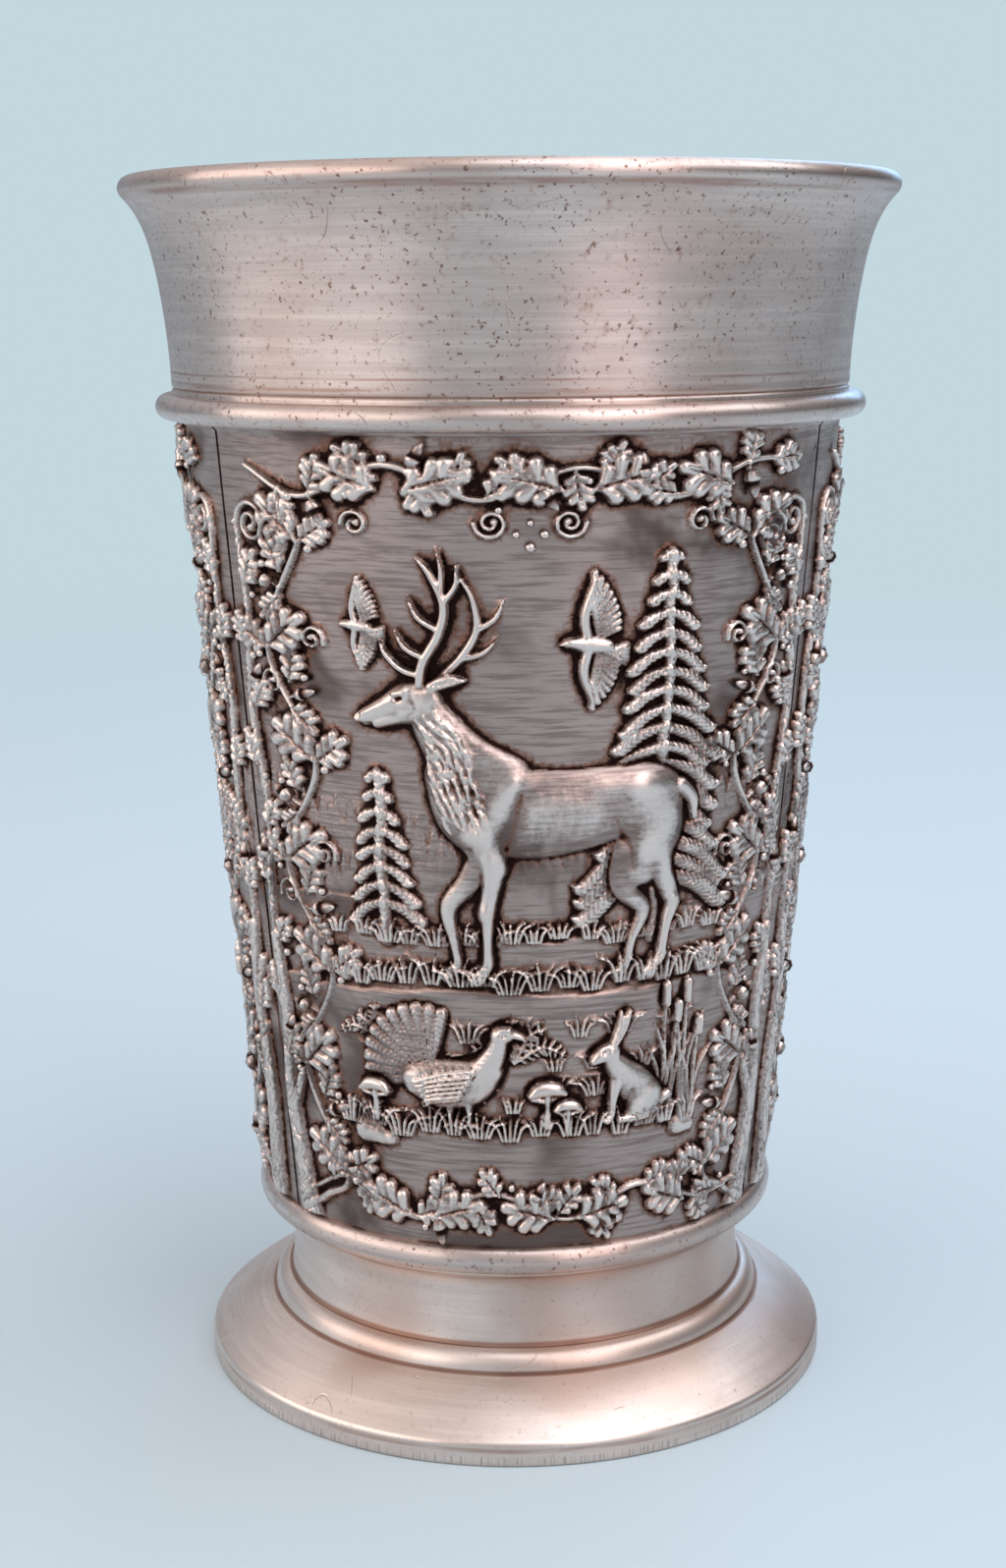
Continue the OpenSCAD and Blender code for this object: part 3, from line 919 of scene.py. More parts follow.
@dataclass
class Deer(Figure):
    """Standing red deer in profile, looking left. Without antlers it is a hind."""

    antlers: bool

    def far_side(self) -> None:
        """Legs and antler on the side away from the eye."""
        self.stroke([(-5.6, 11.5, 1.5), (-7.6, 8.6, 1), (-9.3, 6.4, 0.74), (-8.9, 3.6, 0.46),
                     (-8.6, 1.7, 0.44), (-9.1, 1, 0.5), (-9.6, 0.45, 0.55)], 0.55)
        self.stroke([(6, 11, 2), (5.2, 8.6, 1.5), (5.4, 7.4, 0.95), (6.9, 5.8, 0.7),
                     (6, 3.4, 0.44), (5.6, 1.7, 0.44), (5.2, 1, 0.5), (4.7, 0.45, 0.55)], 0.55)
        if self.antlers:
            self.stroke([(-9.6, 25.2, 0.34), (-7.9, 26.9, 0.36), (-6.6, 29.2, 0.34),
                         (-6.8, 31.6, 0.28), (-7.6, 33.2, 0.14)], 0.42)
            self.stroke([(-7.9, 26.9, 0.3), (-6.2, 27.4, 0.24), (-5, 28.6, 0.1)], 0.4)
            self.stroke([(-6.6, 29.2, 0.3), (-5.2, 30.2, 0.22), (-4.6, 31.6, 0.1)], 0.4)

    def body(self) -> None:
        """Barrel, rump, shoulder and chest, with the muscles that stand over them."""
        self.stroke([(-5.4, 14.7, 3.8), (-2.5, 14.3, 3.7), (1, 14.5, 3.4), (4.4, 15, 3.1),
                     (7.2, 14.9, 3.1)], 0.85)
        for rows in ([(6.4, 15.2, 3.1), (7.5, 12.9, 2.8), (7, 10.6, 2.1), (6.6, 9.4, 1.6)],
                     [(-5.2, 16.2, 2.3), (-6, 13.8, 2.4), (-6.2, 11.6, 1.7), (-5.5, 9.9, 1.15)],
                     [(-6.6, 12.9, 2.2), (-7.9, 14.6, 2.4), (-8.6, 17.4, 2.3)]):
            self.stroke(rows, 0.95, blend=0.4)
        self.stroke([(9.7, 16, 0.75), (10.8, 14.8, 0.62), (11, 13.2, 0.25)], 0.9)
        for rows, rise in (
            ([(6.4, 15.8, 1.9), (7.6, 13.6, 2.1), (7, 11, 1.5)], 0.42),
            ([(3, 16.2, 1.4), (6.4, 16.8, 1.3), (8.8, 16.2, 1.2)], 0.16),
            ([(-3.9, 17.2, 0.9), (-5.2, 14.8, 1.3), (-6.6, 12.6, 1.3)], 0.4),
            ([(-6.8, 12.8, 1.4), (-5.6, 10.8, 1.1)], 0.28),
            ([(-8.2, 15.4, 1.5), (-7.2, 12.6, 1.2)], 0.25),
            ([(-2, 14.6, 2), (1.6, 14.4, 1.8)], 0.22),
        ):
            self.swell(rows, rise)
        for rib in range(6):
            x = -2.8 + 0.95 * rib
            self.swell([(x - 0.3, 16.2, 0.42), (x + 0.35, 14.4, 0.46), (x + 0.1, 12.8, 0.4)], 0.035)

    def near_legs(self) -> None:
        """Legs on the side of the eye, with their joints and hoofs."""
        self.stroke([(7.6, 11.8, 1.9), (8.2, 9.4, 1.15), (9.2, 7, 0.82), (9.5, 6.1, 0.78),
                     (9, 4.6, 0.52), (8.7, 2.6, 0.46), (8.6, 1.7, 0.54), (8.1, 1, 0.54),
                     (7.6, 0.45, 0.66)], 0.95, blend=0.3)
        self.stroke([(-6, 12, 1.5), (-5.6, 9.8, 1.05), (-5.9, 7.6, 0.76), (-6.2, 6, 0.78),
                     (-6.1, 5.2, 0.56), (-6.1, 3, 0.44), (-6.1, 1.8, 0.54), (-6.5, 1, 0.54),
                     (-7, 0.45, 0.66)], 0.95, blend=0.3)
        for rows in ([(8, 10.6, 0.9), (8.6, 8.6, 0.5)], [(-5.9, 10.6, 0.8), (-5.8, 8.2, 0.5)],
                     [(9.4, 6.6, 0.5), (9.3, 5.7, 0.4)], [(-6.2, 6.3, 0.5), (-6.2, 5.6, 0.4)]):
            self.swell(rows, 0.2)
        for x in (7.7, -6.9, 4.8, -9.5):
            self.groove([(x + 0.75, 0.75, 0.1), (x + 0.1, 1.15, 0.1)], 0.25)

    def mane(self) -> None:
        """Covers the neck with short tapering locks of hair."""
        vary, spacing, length, lean, rise = np.random.default_rng(3).uniform, 0.62, 1.5, 8, 0.24
        neck = [(-10.4, 22.4, 1.3), (-9.2, 20, 1.9), (-8.6, 17.2, 2.3), (-7.9, 14.4, 2.1)]
        line = smooth_line(neck, spacing)
        for (x, y, half), (dx, dy) in zip(line, np.gradient(line[:, :2], axis=0)):
            run, width = atan2(dy, dx), 1.7 * half
            count = max(1, int(width / spacing))
            for i in range(count):
                side = ((i + 0.5) / count - 0.5) * width + vary(-0.12, 0.12)
                way = run + radians(lean + vary(-16, 16))
                px, py = x - side * sin(run), y + side * cos(run)
                ex, ey = length * cos(way), length * sin(way)
                bow = vary(-0.12, 0.12) * length
                self.stroke([(px, py, spacing * 0.34), (px + ex / 2 - bow * sin(way),
                             py + ey / 2 + bow * cos(way), spacing * 0.36), (px + ex, py + ey, 0.06)],
                            rise * vary(0.7, 1.2), ply=Ply.ADDED, power=0.8)

    def head(self) -> None:
        """Neck, head, ear and the antler on the side of the eye."""
        neck = [(-5, 16.6, 2.8), (-7.6, 18.4, 2.5), (-9.4, 20.8, 2), (-10.6, 23, 1.5)]
        self.stroke(neck, 1, blend=0.4)
        if self.antlers:
            self.mane()
        else:
            self.swell([(-10.2, 22.2, 0.8), (-8.4, 19, 1), (-6.4, 17, 1)], 0.25)
            self.groove([(-10.6, 21.4, 0.3), (-9.4, 18.8, 0.3), (-8.6, 16.6, 0.3)], 0.12)
        self.stroke([(-10.6, 23.5, 1.5), (-12, 23.7, 1.25), (-13.6, 22.9, 0.95),
                     (-15.4, 22, 0.72)], 1.1, blend=0.3)
        self.stroke([(-11.2, 22.6, 1.05), (-12.6, 22.3, 0.8), (-14.4, 21.6, 0.5)], 0.9)
        self.stroke([(-15.3, 22.2, 0.62), (-15.9, 21.9, 0.5)], 1)
        self.swell([(-11.4, 22.7, 0.9), (-12.2, 22.6, 0.6)], 0.2)
        self.swell([(-12.9, 23.6, 0.3), (-15.2, 22.5, 0.26)], 0.14)
        self.swell([(-12, 24.3, 0.42), (-12.8, 24.1, 0.34)], 0.35)
        self.stroke([(-10, 24.7, 0.5), (-8.8, 25.2, 0.62), (-7.5, 25.3, 0.18)], 1.1)
        self.groove([(-9.6, 24.9, 0.14), (-8.2, 25.25, 0.14)], 0.4)
        if self.antlers:
            self.stroke([(-10.9, 24.9, 0.42), (-10.6, 26.6, 0.44), (-9.4, 28.8, 0.42),
                         (-8.9, 31.2, 0.38), (-9.8, 33.6, 0.3), (-10.8, 35, 0.12)], 1)
            for tine in (
                [(-10.8, 25.6, 0.34), (-12.2, 26, 0.3), (-13.4, 27.2, 0.24), (-13.8, 28.4, 0.1)],
                [(-10.5, 27, 0.32), (-11.9, 27.8, 0.26), (-12.6, 29.2, 0.1)],
                [(-9.3, 29.2, 0.32), (-10.8, 30.2, 0.26), (-11.5, 31.8, 0.1)],
                [(-8.9, 31.4, 0.3), (-8, 32.8, 0.25), (-7.9, 34.4, 0.1)],
                [(-9.1, 32.2, 0.3), (-9, 34, 0.22), (-9.3, 35.6, 0.1)],
            ):
                self.stroke(tine, 0.9)

    def cuts(self) -> None:
        """Eye, nostril, mouth, jaw and the lines between the muscles."""
        for rows, depth in (
            ([(-12.35, 23.75, 0.2), (-12.65, 23.65, 0.2)], 0.5),
            ([(-15.8, 22.15, 0.16), (-15.9, 22.05, 0.16)], 0.35),
            ([(-14.9, 21.55, 0.12), (-16, 21.5, 0.12)], 0.3),
            ([(-11.6, 24, 0.14), (-11.2, 22.9, 0.14), (-11.9, 22.2, 0.14)], 0.18),
            ([(4.1, 13.8, 0.4), (4.6, 12.6, 0.4), (5.4, 11.2, 0.34), (5.6, 9.6, 0.25)], 0.2),
            ([(-3.4, 16, 0.45), (-3.6, 14, 0.5), (-4.5, 11.6, 0.4)], 0.2),
            ([(-3.4, 11.7, 0.3), (0.5, 11.7, 0.3), (3.8, 12.5, 0.3)], 0.14),
            ([(-7.4, 11.2, 0.2), (-7, 12.4, 0.2), (-6.9, 13.6, 0.2)], 0.15),
        ):
            self.groove(rows, depth)

    def draw(self) -> None:
        """Draws the deer from its far side to its near one."""
        self.far_side()
        self.body()
        self.near_legs()
        self.head()
        self.cuts()


class Grouse(Figure):
    """Cock grouse with its tail fanned, looking right."""

    def draw(self) -> None:
        """Draws tail, body, wing, neck, head and legs."""
        feathers = 11
        for i in range(feathers):
            reach = 5.4 + 0.5 * sin(pi * i / (feathers - 1))
            c, s = heading(78 + 112 * i / (feathers - 1))
            self.stroke([(-2.2 + 1.2 * c, 4.2 + 1.2 * s, 0.25), (-2.2 + 3.4 * c, 4.2 + 3.4 * s, 0.52),
                         (-2.2 + reach * c, 4.2 + reach * s, 0.6)], 0.55,
                        hatch=Hatch(0.12, 0.34, 60, 0.1, True), ply=Ply.OVER)
        self.stroke([(-3.2, 4, 1.5), (-1.2, 3.7, 2.1), (1.2, 3.9, 1.9), (2.8, 5, 1.2)], 1.15,
                    hatch=Hatch(0.1, 0.5, 50, 0.3, True))
        self.stroke([(2.2, 4.6, 1.35), (3.2, 6.2, 1), (3.7, 7.6, 0.75)], 1.2, hatch=Hatch(0.08, 0.36, 60))
        self.stroke([(3.7, 7.9, 0.85), (4.3, 8.1, 0.7)], 1.25)
        self.stroke([(4.8, 8.1, 0.42), (5.5, 7.85, 0.3), (5.8, 7.5, 0.12)], 1)
        self.stroke([(3.9, 8.55, 0.25), (4.5, 8.6, 0.22)], 1.35)
        for i in range(6):
            drop = 0.42 * i
            self.stroke([(1.4 - 0.25 * i, 4.9 - drop, 0.42), (-1 - 0.2 * i, 4.5 - drop, 0.42),
                         (-3.4 + 0.22 * i, 3.9 - drop * 0.9, 0.2)], 1.35,
                        hatch=Hatch(0.1, 0.32, 55, 0.1, True), ply=Ply.OVER)
        for x in (-0.6, 1):
            self.stroke([(x, 2.2, 0.5), (x + 0.1, 1.2, 0.26), (x + 0.1, 0.4, 0.22)], 0.7)
            for toe in (-0.6, 0.1, 0.8):
                self.stroke([(x + 0.1, 0.45, 0.2), (x + toe + 0.1, 0.05, 0.16)], 0.5)
        self.groove([(4.05, 8.05, 0.16), (4.12, 8.05, 0.16)], 0.45)


class Hare(Figure):
    """Sitting hare with its ears up, looking left."""

    def draw(self) -> None:
        """Draws the far ear first, then body, haunch, legs and head."""
        fur = Hatch(0.06, 0.36, 40, 0.8)
        self.stroke([(-2.2, 8.6, 0.4), (-1.4, 10.4, 0.55), (-1.2, 12.2, 0.2)], 0.7)
        self.stroke([(2.2, 2.4, 2.2), (0.8, 4, 2.1), (-0.8, 5.6, 1.6), (-2, 7, 1.1)], 1.1, hatch=fur)
        self.stroke([(2.2, 2.9, 1.7), (1.4, 1.9, 1.6), (0.6, 1.1, 0.9)], 1.3, hatch=fur)
        self.stroke([(2, 0.6, 0.6), (0.2, 0.5, 0.55), (-1, 0.45, 0.42)], 1.1)
        self.stroke([(-1.5, 4.6, 0.9), (-1.9, 2.6, 0.55), (-2, 1, 0.4), (-2.5, 0.4, 0.42)], 1.1)
        self.stroke([(-2.3, 7.9, 1.2), (-3.3, 7.7, 0.95), (-4.2, 7.2, 0.55)], 1.2,
                    hatch=Hatch(0.03, 0.36, 40))
        self.stroke([(-1.9, 8.8, 0.42), (-1, 10.6, 0.6), (-0.3, 12.4, 0.2)], 1.1)
        self.groove([(-1.6, 9.4, 0.16), (-0.8, 11.4, 0.16)], 0.4)
        self.stroke([(4.1, 2, 0.75), (4.9, 2.5, 0.5)], 0.9, hatch=Hatch(0.08, 0.3, 40))
        self.groove([(-3, 8.15, 0.2), (-3.15, 8.1, 0.2)], 0.5)
        self.groove([(0.2, 3.6, 0.3), (-0.3, 2, 0.3), (0.3, 1, 0.3)], 0.25)


@dataclass
class Spruce(Figure):
    """Spruce with drooping, needled branches of a given rise."""

    tall: float
    seed: int
    rise: float

    def draw(self) -> None:
        """Draws the tree with its branches from the top down."""
        tall, rise, vary = self.tall, self.rise, np.random.default_rng(self.seed).uniform
        needles = Hatch(0.2, 0.36, 48, 0.25, True)
        self.stroke([(0, 0, 0.62), (0.1, tall * 0.5, 0.42), (0, tall - 0.6, 0.14)], rise * 0.7,
                    hatch=Hatch(0.08, 0.4, 20, 1))
        tiers = int(tall / 1.55)
        for i in range(tiers):
            share = 1 - i / tiers
            y = tall * (0.12 + 0.86 * share)
            reach = (1 - share) ** 0.85 * tall * 0.21 + 0.7
            for side in (1, -1):
                far = reach * vary(0.85, 1.15)
                drop = far * vary(0.45, 0.62)
                half = 0.34 + 0.05 * far
                self.stroke([(0, y, half * 0.7), (side * far * 0.5, y - drop * 0.35, half),
                             (side * far * 0.85, y - drop * 0.9, half), (side * far, y - drop * 0.85, 0.12)],
                            rise * vary(0.85, 1.1), hatch=needles, ply=Ply.OVER)
            self.stroke([(0, y + 0.2, 0.3), (vary(-0.3, 0.3), y - 0.9, 0.42),
                         (vary(-0.4, 0.4), y - 1.8, 0.15)], rise, hatch=needles, ply=Ply.OVER)


@dataclass
class Fern(Figure):
    """Fern with a number of arching fronds of a given reach."""

    fronds: int
    reach: float
    seed: int

    def draw(self) -> None:
        """Draws fronds that fan out from one root."""
        reach, vary = self.reach, np.random.default_rng(self.seed).uniform
        for i in range(self.fronds):
            angle = radians(28 + 124 * i / (self.fronds - 1) + vary(-5, 5))
            length = reach * vary(0.8, 1.05)
            bend = -0.5 * cos(angle)
            tip = (length * cos(angle) * 1.05, length * (sin(angle) - abs(bend) * 0.8))
            mid = (length * 0.55 * cos(angle), length * 0.62 * sin(angle))
            stem = [(0, 0, 0.16), (*mid, 0.14), (*tip, 0.08)]
            line = smooth_line(stem, 0.45)
            steps = np.gradient(line[:, :2], axis=0)
            for j in range(1, len(line) - 1):
                t = j / len(line)
                leaf = 1.15 * sin(pi * min(1, 0.18 + 0.85 * t)) * reach / 6
                dx, dy = steps[j] / np.hypot(*steps[j])
                for side in (1, -1):
                    ex, ey = dx * 0.5 - side * dy, dy * 0.5 + side * dx
                    x, y = line[j, :2]
                    self.stroke([(x, y, 0.14), (x + ex * leaf * 0.6, y + ey * leaf * 0.6, 0.17),
                                 (x + ex * leaf, y + ey * leaf, 0.08)], 0.42)
            self.stroke(stem, 0.6)


class Mushroom(Figure):
    """Capped mushroom."""

    def draw(self) -> None:
        """Draws the stem, the gills and the cap."""
        self.stroke([(0, 0, 0.42), (0.05, 1.2, 0.3), (0, 2.2, 0.32)], 0.8, hatch=Hatch(0.05, 0.3, 5))
        self.stroke([(-1.3, 2.15, 0.24), (0, 1.95, 0.3), (1.3, 2.15, 0.24)], 0.7,
                    hatch=Hatch(0.12, 0.26, 88, 0))
        self.stroke([(-1.35, 2.45, 0.32), (-0.6, 2.85, 0.62), (0.6, 2.85, 0.62), (1.35, 2.45, 0.32)], 1.05)


@dataclass
class Reeds(Figure):
    """Clump of bulrushes with long leaves."""

    stems: int
    seed: int

    def draw(self) -> None:
        """Draws stems with their heads, and leaves between them."""
        vary = np.random.default_rng(self.seed).uniform
        for i in range(self.stems):
            x = (i - (self.stems - 1) / 2) * 0.95 + vary(-0.2, 0.2)
            lean, tall = vary(-0.7, 0.7) + x * 0.12, vary(7.5, 11.5)
            for side in (-1, 1):
                long = tall * vary(0.55, 0.85)
                self.stroke([(x + side * 0.15, 0, 0.2), (x + side * 0.5, long * 0.6, 0.22),
                             (x + side * vary(0.9, 2.2), long, 0.08)], 0.4,
                            hatch=Hatch(0.05, 0.2, 0, 0.1), ply=Ply.OVER)
            self.stroke([(x, 0, 0.17), (x + lean * 0.4, tall * 0.5, 0.15), (x + lean, tall, 0.12)], 0.45,
                        ply=Ply.OVER)
            self.stroke([(x + lean * 0.82, tall * 0.84, 0.34), (x + lean * 0.95, tall * 0.97, 0.32)], 0.8,
                        ply=Ply.OVER)


class Buzzard(Figure):
    """Soaring bird of prey, seen from below, flying to the left."""

    def draw(self) -> None:
        """Draws tail, wings, body and head."""
        barbs = Hatch(0.08, 0.28, 55, 0.1, True)
        for i in range(5):
            spread = (i - 2) * 0.34
            self.stroke([(0.8, -0.4, 0.3), (2.6, -0.9 + spread, 0.36)], 0.5, hatch=barbs, ply=Ply.OVER)
        for side, reach in ((1, 5.6), (-1, 5)):
            for i in range(9):
                t = i / 8
                root = (0.3 - 0.5 * t, side * (0.5 + 2.6 * t))
                tip = (1.9 - 1.9 * t * t, side * (1.2 + (reach - 1.2) * t))
                self.stroke([(*root, 0.3), (*tip, 0.28)], 0.5 + 0.15 * t, hatch=barbs, ply=Ply.OVER)
            self.stroke([(-0.4, side * 0.3, 0.45), (-0.7, side * 2.2, 0.42),
                         (-0.1, side * (reach - 0.6), 0.2)], 0.85, hatch=Hatch(0.05, 0.3, 60), ply=Ply.OVER)
        self.stroke([(1, -0.1, 0.55), (-0.2, 0, 0.8), (-1.3, 0.15, 0.55)], 1, hatch=Hatch(0.05, 0.3, 50))
        self.stroke([(-1.5, 0.2, 0.48), (-1.9, 0.2, 0.4)], 1.05)
        self.stroke([(-2.2, 0.15, 0.2), (-2.5, 0, 0.08)], 0.8)


class Oak:
    """Oak border of a panel: trunks, vines, leaves and tendrils."""

    LEAVES = 7
    LEAF_LEN = 4.6
    LEAF_W = 3.2

    def __init__(self, canvas: Canvas, seed: int) -> None:
        """Keeps the canvas, and the places of the acorns and buds that stand proud of it.

        Args:
            canvas: Canvas to draw on.
            seed: Seed of the differences.
        """
        self.canvas = canvas
        self.vary = np.random.default_rng(seed).uniform
        self.acorns: list[Spot] = []
        self.buds: list[Spot] = []

    def leaf(self, x: float, y: float, turn: float, length: float, rise: float = 0.62) -> None:
        """Adds a leaf with three round lobes a side, a tip and a cut midrib.

        Args:
            x: Place of the stalk's end.
            y: Height of the stalk's end.
            turn: Direction that the leaf points in, in degrees from +x.
            length: Length of the leaf.
            rise: Height of the lobes.
        """
        canvas, vary = self.canvas, self.vary
        c, s = heading(turn)
        curl = vary(-0.14, 0.14)

        def at(u: float, v: float, half: float) -> Row:
            """Row at a place given along and across the leaf, as shares of its length."""
            v = v + curl * u * u
            return x + length * (u * c - v * s), y + length * (u * s + v * c), half * length

        canvas.stroke([at(0.06, 0, 0.05), at(0.28, 0, 0.17), at(0.55, 0, 0.21), at(0.82, 0, 0.13)],
                      rise * 0.8, ply=Ply.OVER)
        for u, reach in ((0.2, 0.2), (0.42, 0.27), (0.64, 0.22)):
            for side in (1, -1):
                far = reach * vary(0.88, 1.12)
                lean = vary(0.3, 0.6)
                canvas.stroke([at(u, side * 0.06, 0.1), at(u + far * lean * 0.5, side * far * 0.6, 0.11),
                               at(u + far * lean, side * far, 0.13)], rise * vary(0.92, 1.15),
                              blend=0.08)
        canvas.stroke([at(0.76, 0, 0.12), at(0.92, 0, 0.13)], rise, blend=0.08)
        canvas.groove([at(0.1, 0, 0.024), at(0.5, 0, 0.022), at(0.88, 0, 0.014)], 0.24)
        for u, reach in ((0.2, 0.16), (0.42, 0.22), (0.64, 0.17)):
            for side in (1, -1):
                canvas.groove([at(u, 0, 0.016), at(u + reach * 0.5, side * reach, 0.013)], 0.1)

    def tendril(self, x: float, y: float, start: float, size: float, turns: float,
                half: float = 0.2) -> None:
        """Adds a spiral that winds in from its outer end.

        Args:
            x: Place of the outer end.
            y: Height of the outer end.
            start: Direction of the outer end from the middle, in degrees.
            size: Radius of the outer end.
            turns: Signed number of turns.
            half: Half width of the tendril.
        """
        first = radians(start)
        mid_x, mid_y = x - size * cos(first), y - size * sin(first)
        rows = []
        for i in range(int(abs(turns) * 10) + 1):
            t = i / (abs(turns) * 10)
            angle = first + turns * t * FULL_TURN
            r = size * (1 - 0.82 * t)
            rows.append((mid_x + r * cos(angle), mid_y + r * sin(angle), half * (1 - 0.3 * t)))
        self.canvas.stroke(rows, 0.5, ply=Ply.OVER)
        self.canvas.stroke([rows[-1], (rows[-1][0] + 0.05, rows[-1][1], half * 1.5)], 0.6, ply=Ply.OVER)

    def acorn(self, x: float, y: float, turn: float, reach: float = 1.2) -> None:
        """Adds an acorn on a short stalk.

        Args:
            x: Place of the stalk's root.
            y: Height of the stalk's root.
            turn: Direction of the stalk, in degrees from +x.
            reach: Length of the stalk.
        """
        way = radians(turn + self.vary(-12, 12))
        far_x, far_y = x + reach * cos(way), y + reach * sin(way)
        self.canvas.stroke([(x, y, 0.16), (far_x, far_y, 0.15)], 0.5, ply=Ply.OVER)
        self.acorns.append((far_x, far_y, way, self.vary(0.9, 1.15)))

    def bud(self, x: float, y: float) -> None:
        """Adds a round bud."""
        self.buds.append((x, y, 0, self.vary(0.75, 1.15)))

    def side(self, flip: bool) -> None:
        """Adds the trunk at one side of the panel and the vine that winds up beside it.

        Args:
            flip: Whether it is the right side.
        """
        way, vary, stroke = (-1 if flip else 1), self.vary, self.canvas.stroke

        def turned(rows: Rows) -> list[Row]:
            """Puts rows on the side that is drawn."""
            return [(way * x, y, half) for x, y, half in rows]

        def aimed(turn: float) -> float:
            """Turns a direction to the side that is drawn."""
            return 180 - turn if flip else turn

        bark = Hatch(0.2, 0.5, 6, 1.8)
        for root, tip in (((-22, 9), (-20.4, 12.4)), ((-22.3, 17.5), (-23.3, 20.4)),
                          ((-22.1, 29), (-20.9, 31.4))):
            stroke(turned([(*root, 0.55), (*tip, 0.4)]), 0.7, hatch=bark)
        stroke(turned([(-21.9, 17, 0.76), (-22.5, 25, 0.56), (-21.8, 33, 0.44), (-22.6, 41, 0.36),
                       (-21.9, 48, 0.3), (-22.3, 54.6, 0.24)]), 0.5, hatch=bark)
        stroke(turned([(-21.2, -0.5, 1.5), (-21.7, 4, 1.2), (-22.3, 10, 0.98), (-21.8, 17, 0.76),
                       (-22.4, 23, 0.5)]), 0.8, hatch=bark, blend=0.3)
        bends = [(-18 + (1.9 if i % 2 == 0 else -1.9), self.leaf_y(i) - 1.5) for i in range(self.LEAVES)]
        vine = [(-21.6, 0.8, 0.46), (-18.8, 2.4, 0.38), *[(x, y, 0.34 - 0.018 * i)
                for i, (x, y) in enumerate(bends)]]
        stroke(turned(vine), 0.5, ply=Ply.OVER)
        for i, (x, y) in enumerate(bends):
            inward = i % 2 == 0
            self.leaf(way * x, y, aimed(30 if inward else 150), vary(3, 3.6))
            self.leaf(way * x, y, aimed(140 if inward else 40), vary(4.4, 4.8), 0.75)
            self.bud(way * (x + (0.9 if inward else -0.9)), y - 0.5)
            self.bud(way * (x + (1.3 if inward else -1.3)), y + 0.3)
            if i + 1 < len(bends):
                mid = (x + bends[i + 1][0]) / 2, (y + bends[i + 1][1]) / 2 + 0.6
                self.acorn(way * mid[0], mid[1], aimed(20 if inward else 160))
                self.leaf(way * mid[0], mid[1] + 1, aimed(70 if inward else 110), vary(2.8, 3.4))
                self.leaf(way * mid[0], mid[1] - 0.6, aimed(-35 if inward else 215), vary(2.4, 3))
                self.bud(way * (mid[0] + (1.6 if inward else -1.6)), mid[1] + 1.6)
        for i in range(9):
            y = (11 if flip else 13.2) + 5.1 * i * (0.96 if flip else 0.9)
            x = -22.2 + 0.3 * (-1) ** i
            self.leaf(way * x, y, aimed(106 if i % 2 else 62), vary(2.6, 3.2), 0.75)
            if i % 3 == 0:
                self.acorn(way * x, y + 1.5, aimed(88 if i % 2 else 60), 0.9)
            else:
                self.bud(way * (x + 0.9), y - 0.6)
        self.tendril(way * -22.3, 54.6, aimed(180), 1.7, -1.7 * way, 0.26)
        self.tendril(way * -16.2, 53.6, aimed(0), 1.9, 1.6 * way, 0.22)
        for x, y, start, size, turns in ((-21, 26.4, 200, 1.2, -1.4), (-14.9, 30, -20, 1.1, 1.4),
                                         (-20.7, 42.6, 200, 1.1, -1.4), (-14.6, 46.2, -20, 1, 1.4)):
            self.tendril(way * x, y, aimed(start), size, turns * way, 0.18)

    def leaf_y(self, index: int) -> float:
        """Height of a border leaf's middle, as in the solids."""
        return self.LEAF_LEN / 2 + (index + 0.5) * (self.canvas.height - self.LEAF_LEN) / self.LEAVES

    def garland(self, top: bool) -> None:
        """Adds a garland along one edge of the panel.

        Args:
            top: Whether it is the upper edge.
        """
        vary, height = self.vary, self.canvas.height

        def at(y: float) -> float:
            """Height of a place given from the edge that is drawn."""
            return height - y if top else y

        wave = [(-20.6, 2.6), (-15.6, 4.6), (-9.4, 2.2), (-3.2, 4.6), (3.2, 2.4), (9.4, 4.6), (15.6, 2.4),
                (20.6, 2.6)]
        self.canvas.stroke([(x, at(y), 0.34 - 0.1 * abs(cos(x / 7))) for x, y in wave], 0.5, ply=Ply.OVER)
        for i in range(15):
            x = -17.5 + 2.5 * i + vary(-0.4, 0.4)
            y = np.interp(x, *zip(*wave))
            up = i % 2 == 0
            self.leaf(x, at(y), (1 if up != top else -1) * vary(40, 85) + (90 if i % 4 > 1 else 0),
                      vary(2.6, 3.3))
            if i % 3 == 1:
                self.acorn(x, at(y), (80 if up == top else -80) + vary(-20, 20), 1)
            else:
                self.bud(x + 0.9, at(y + (0.8 if up else -0.8)))
        for i, x in enumerate((-12, -6, 0, 6, 12)):
            lean = 160 if i % 2 == 0 else 20
            half, (c, s) = self.LEAF_LEN / 2, heading(lean)
            self.leaf(x - c * half, at(self.LEAF_W) - s * half, lean, self.LEAF_LEN, 0.78)
        if top:
            for way in (1, -1):
                self.tendril(way * 3.6, at(6.2), 90 - 90 * way, 1.1, -1.6 * way, 0.2)
                self.tendril(way * -12.6, at(6.4), 90 + 90 * way, 1, -1.4 * way, 0.18)
                self.bud(way * 0.9, at(7))
            self.bud(0, at(6.2))
            self.bud(0, at(7.9))


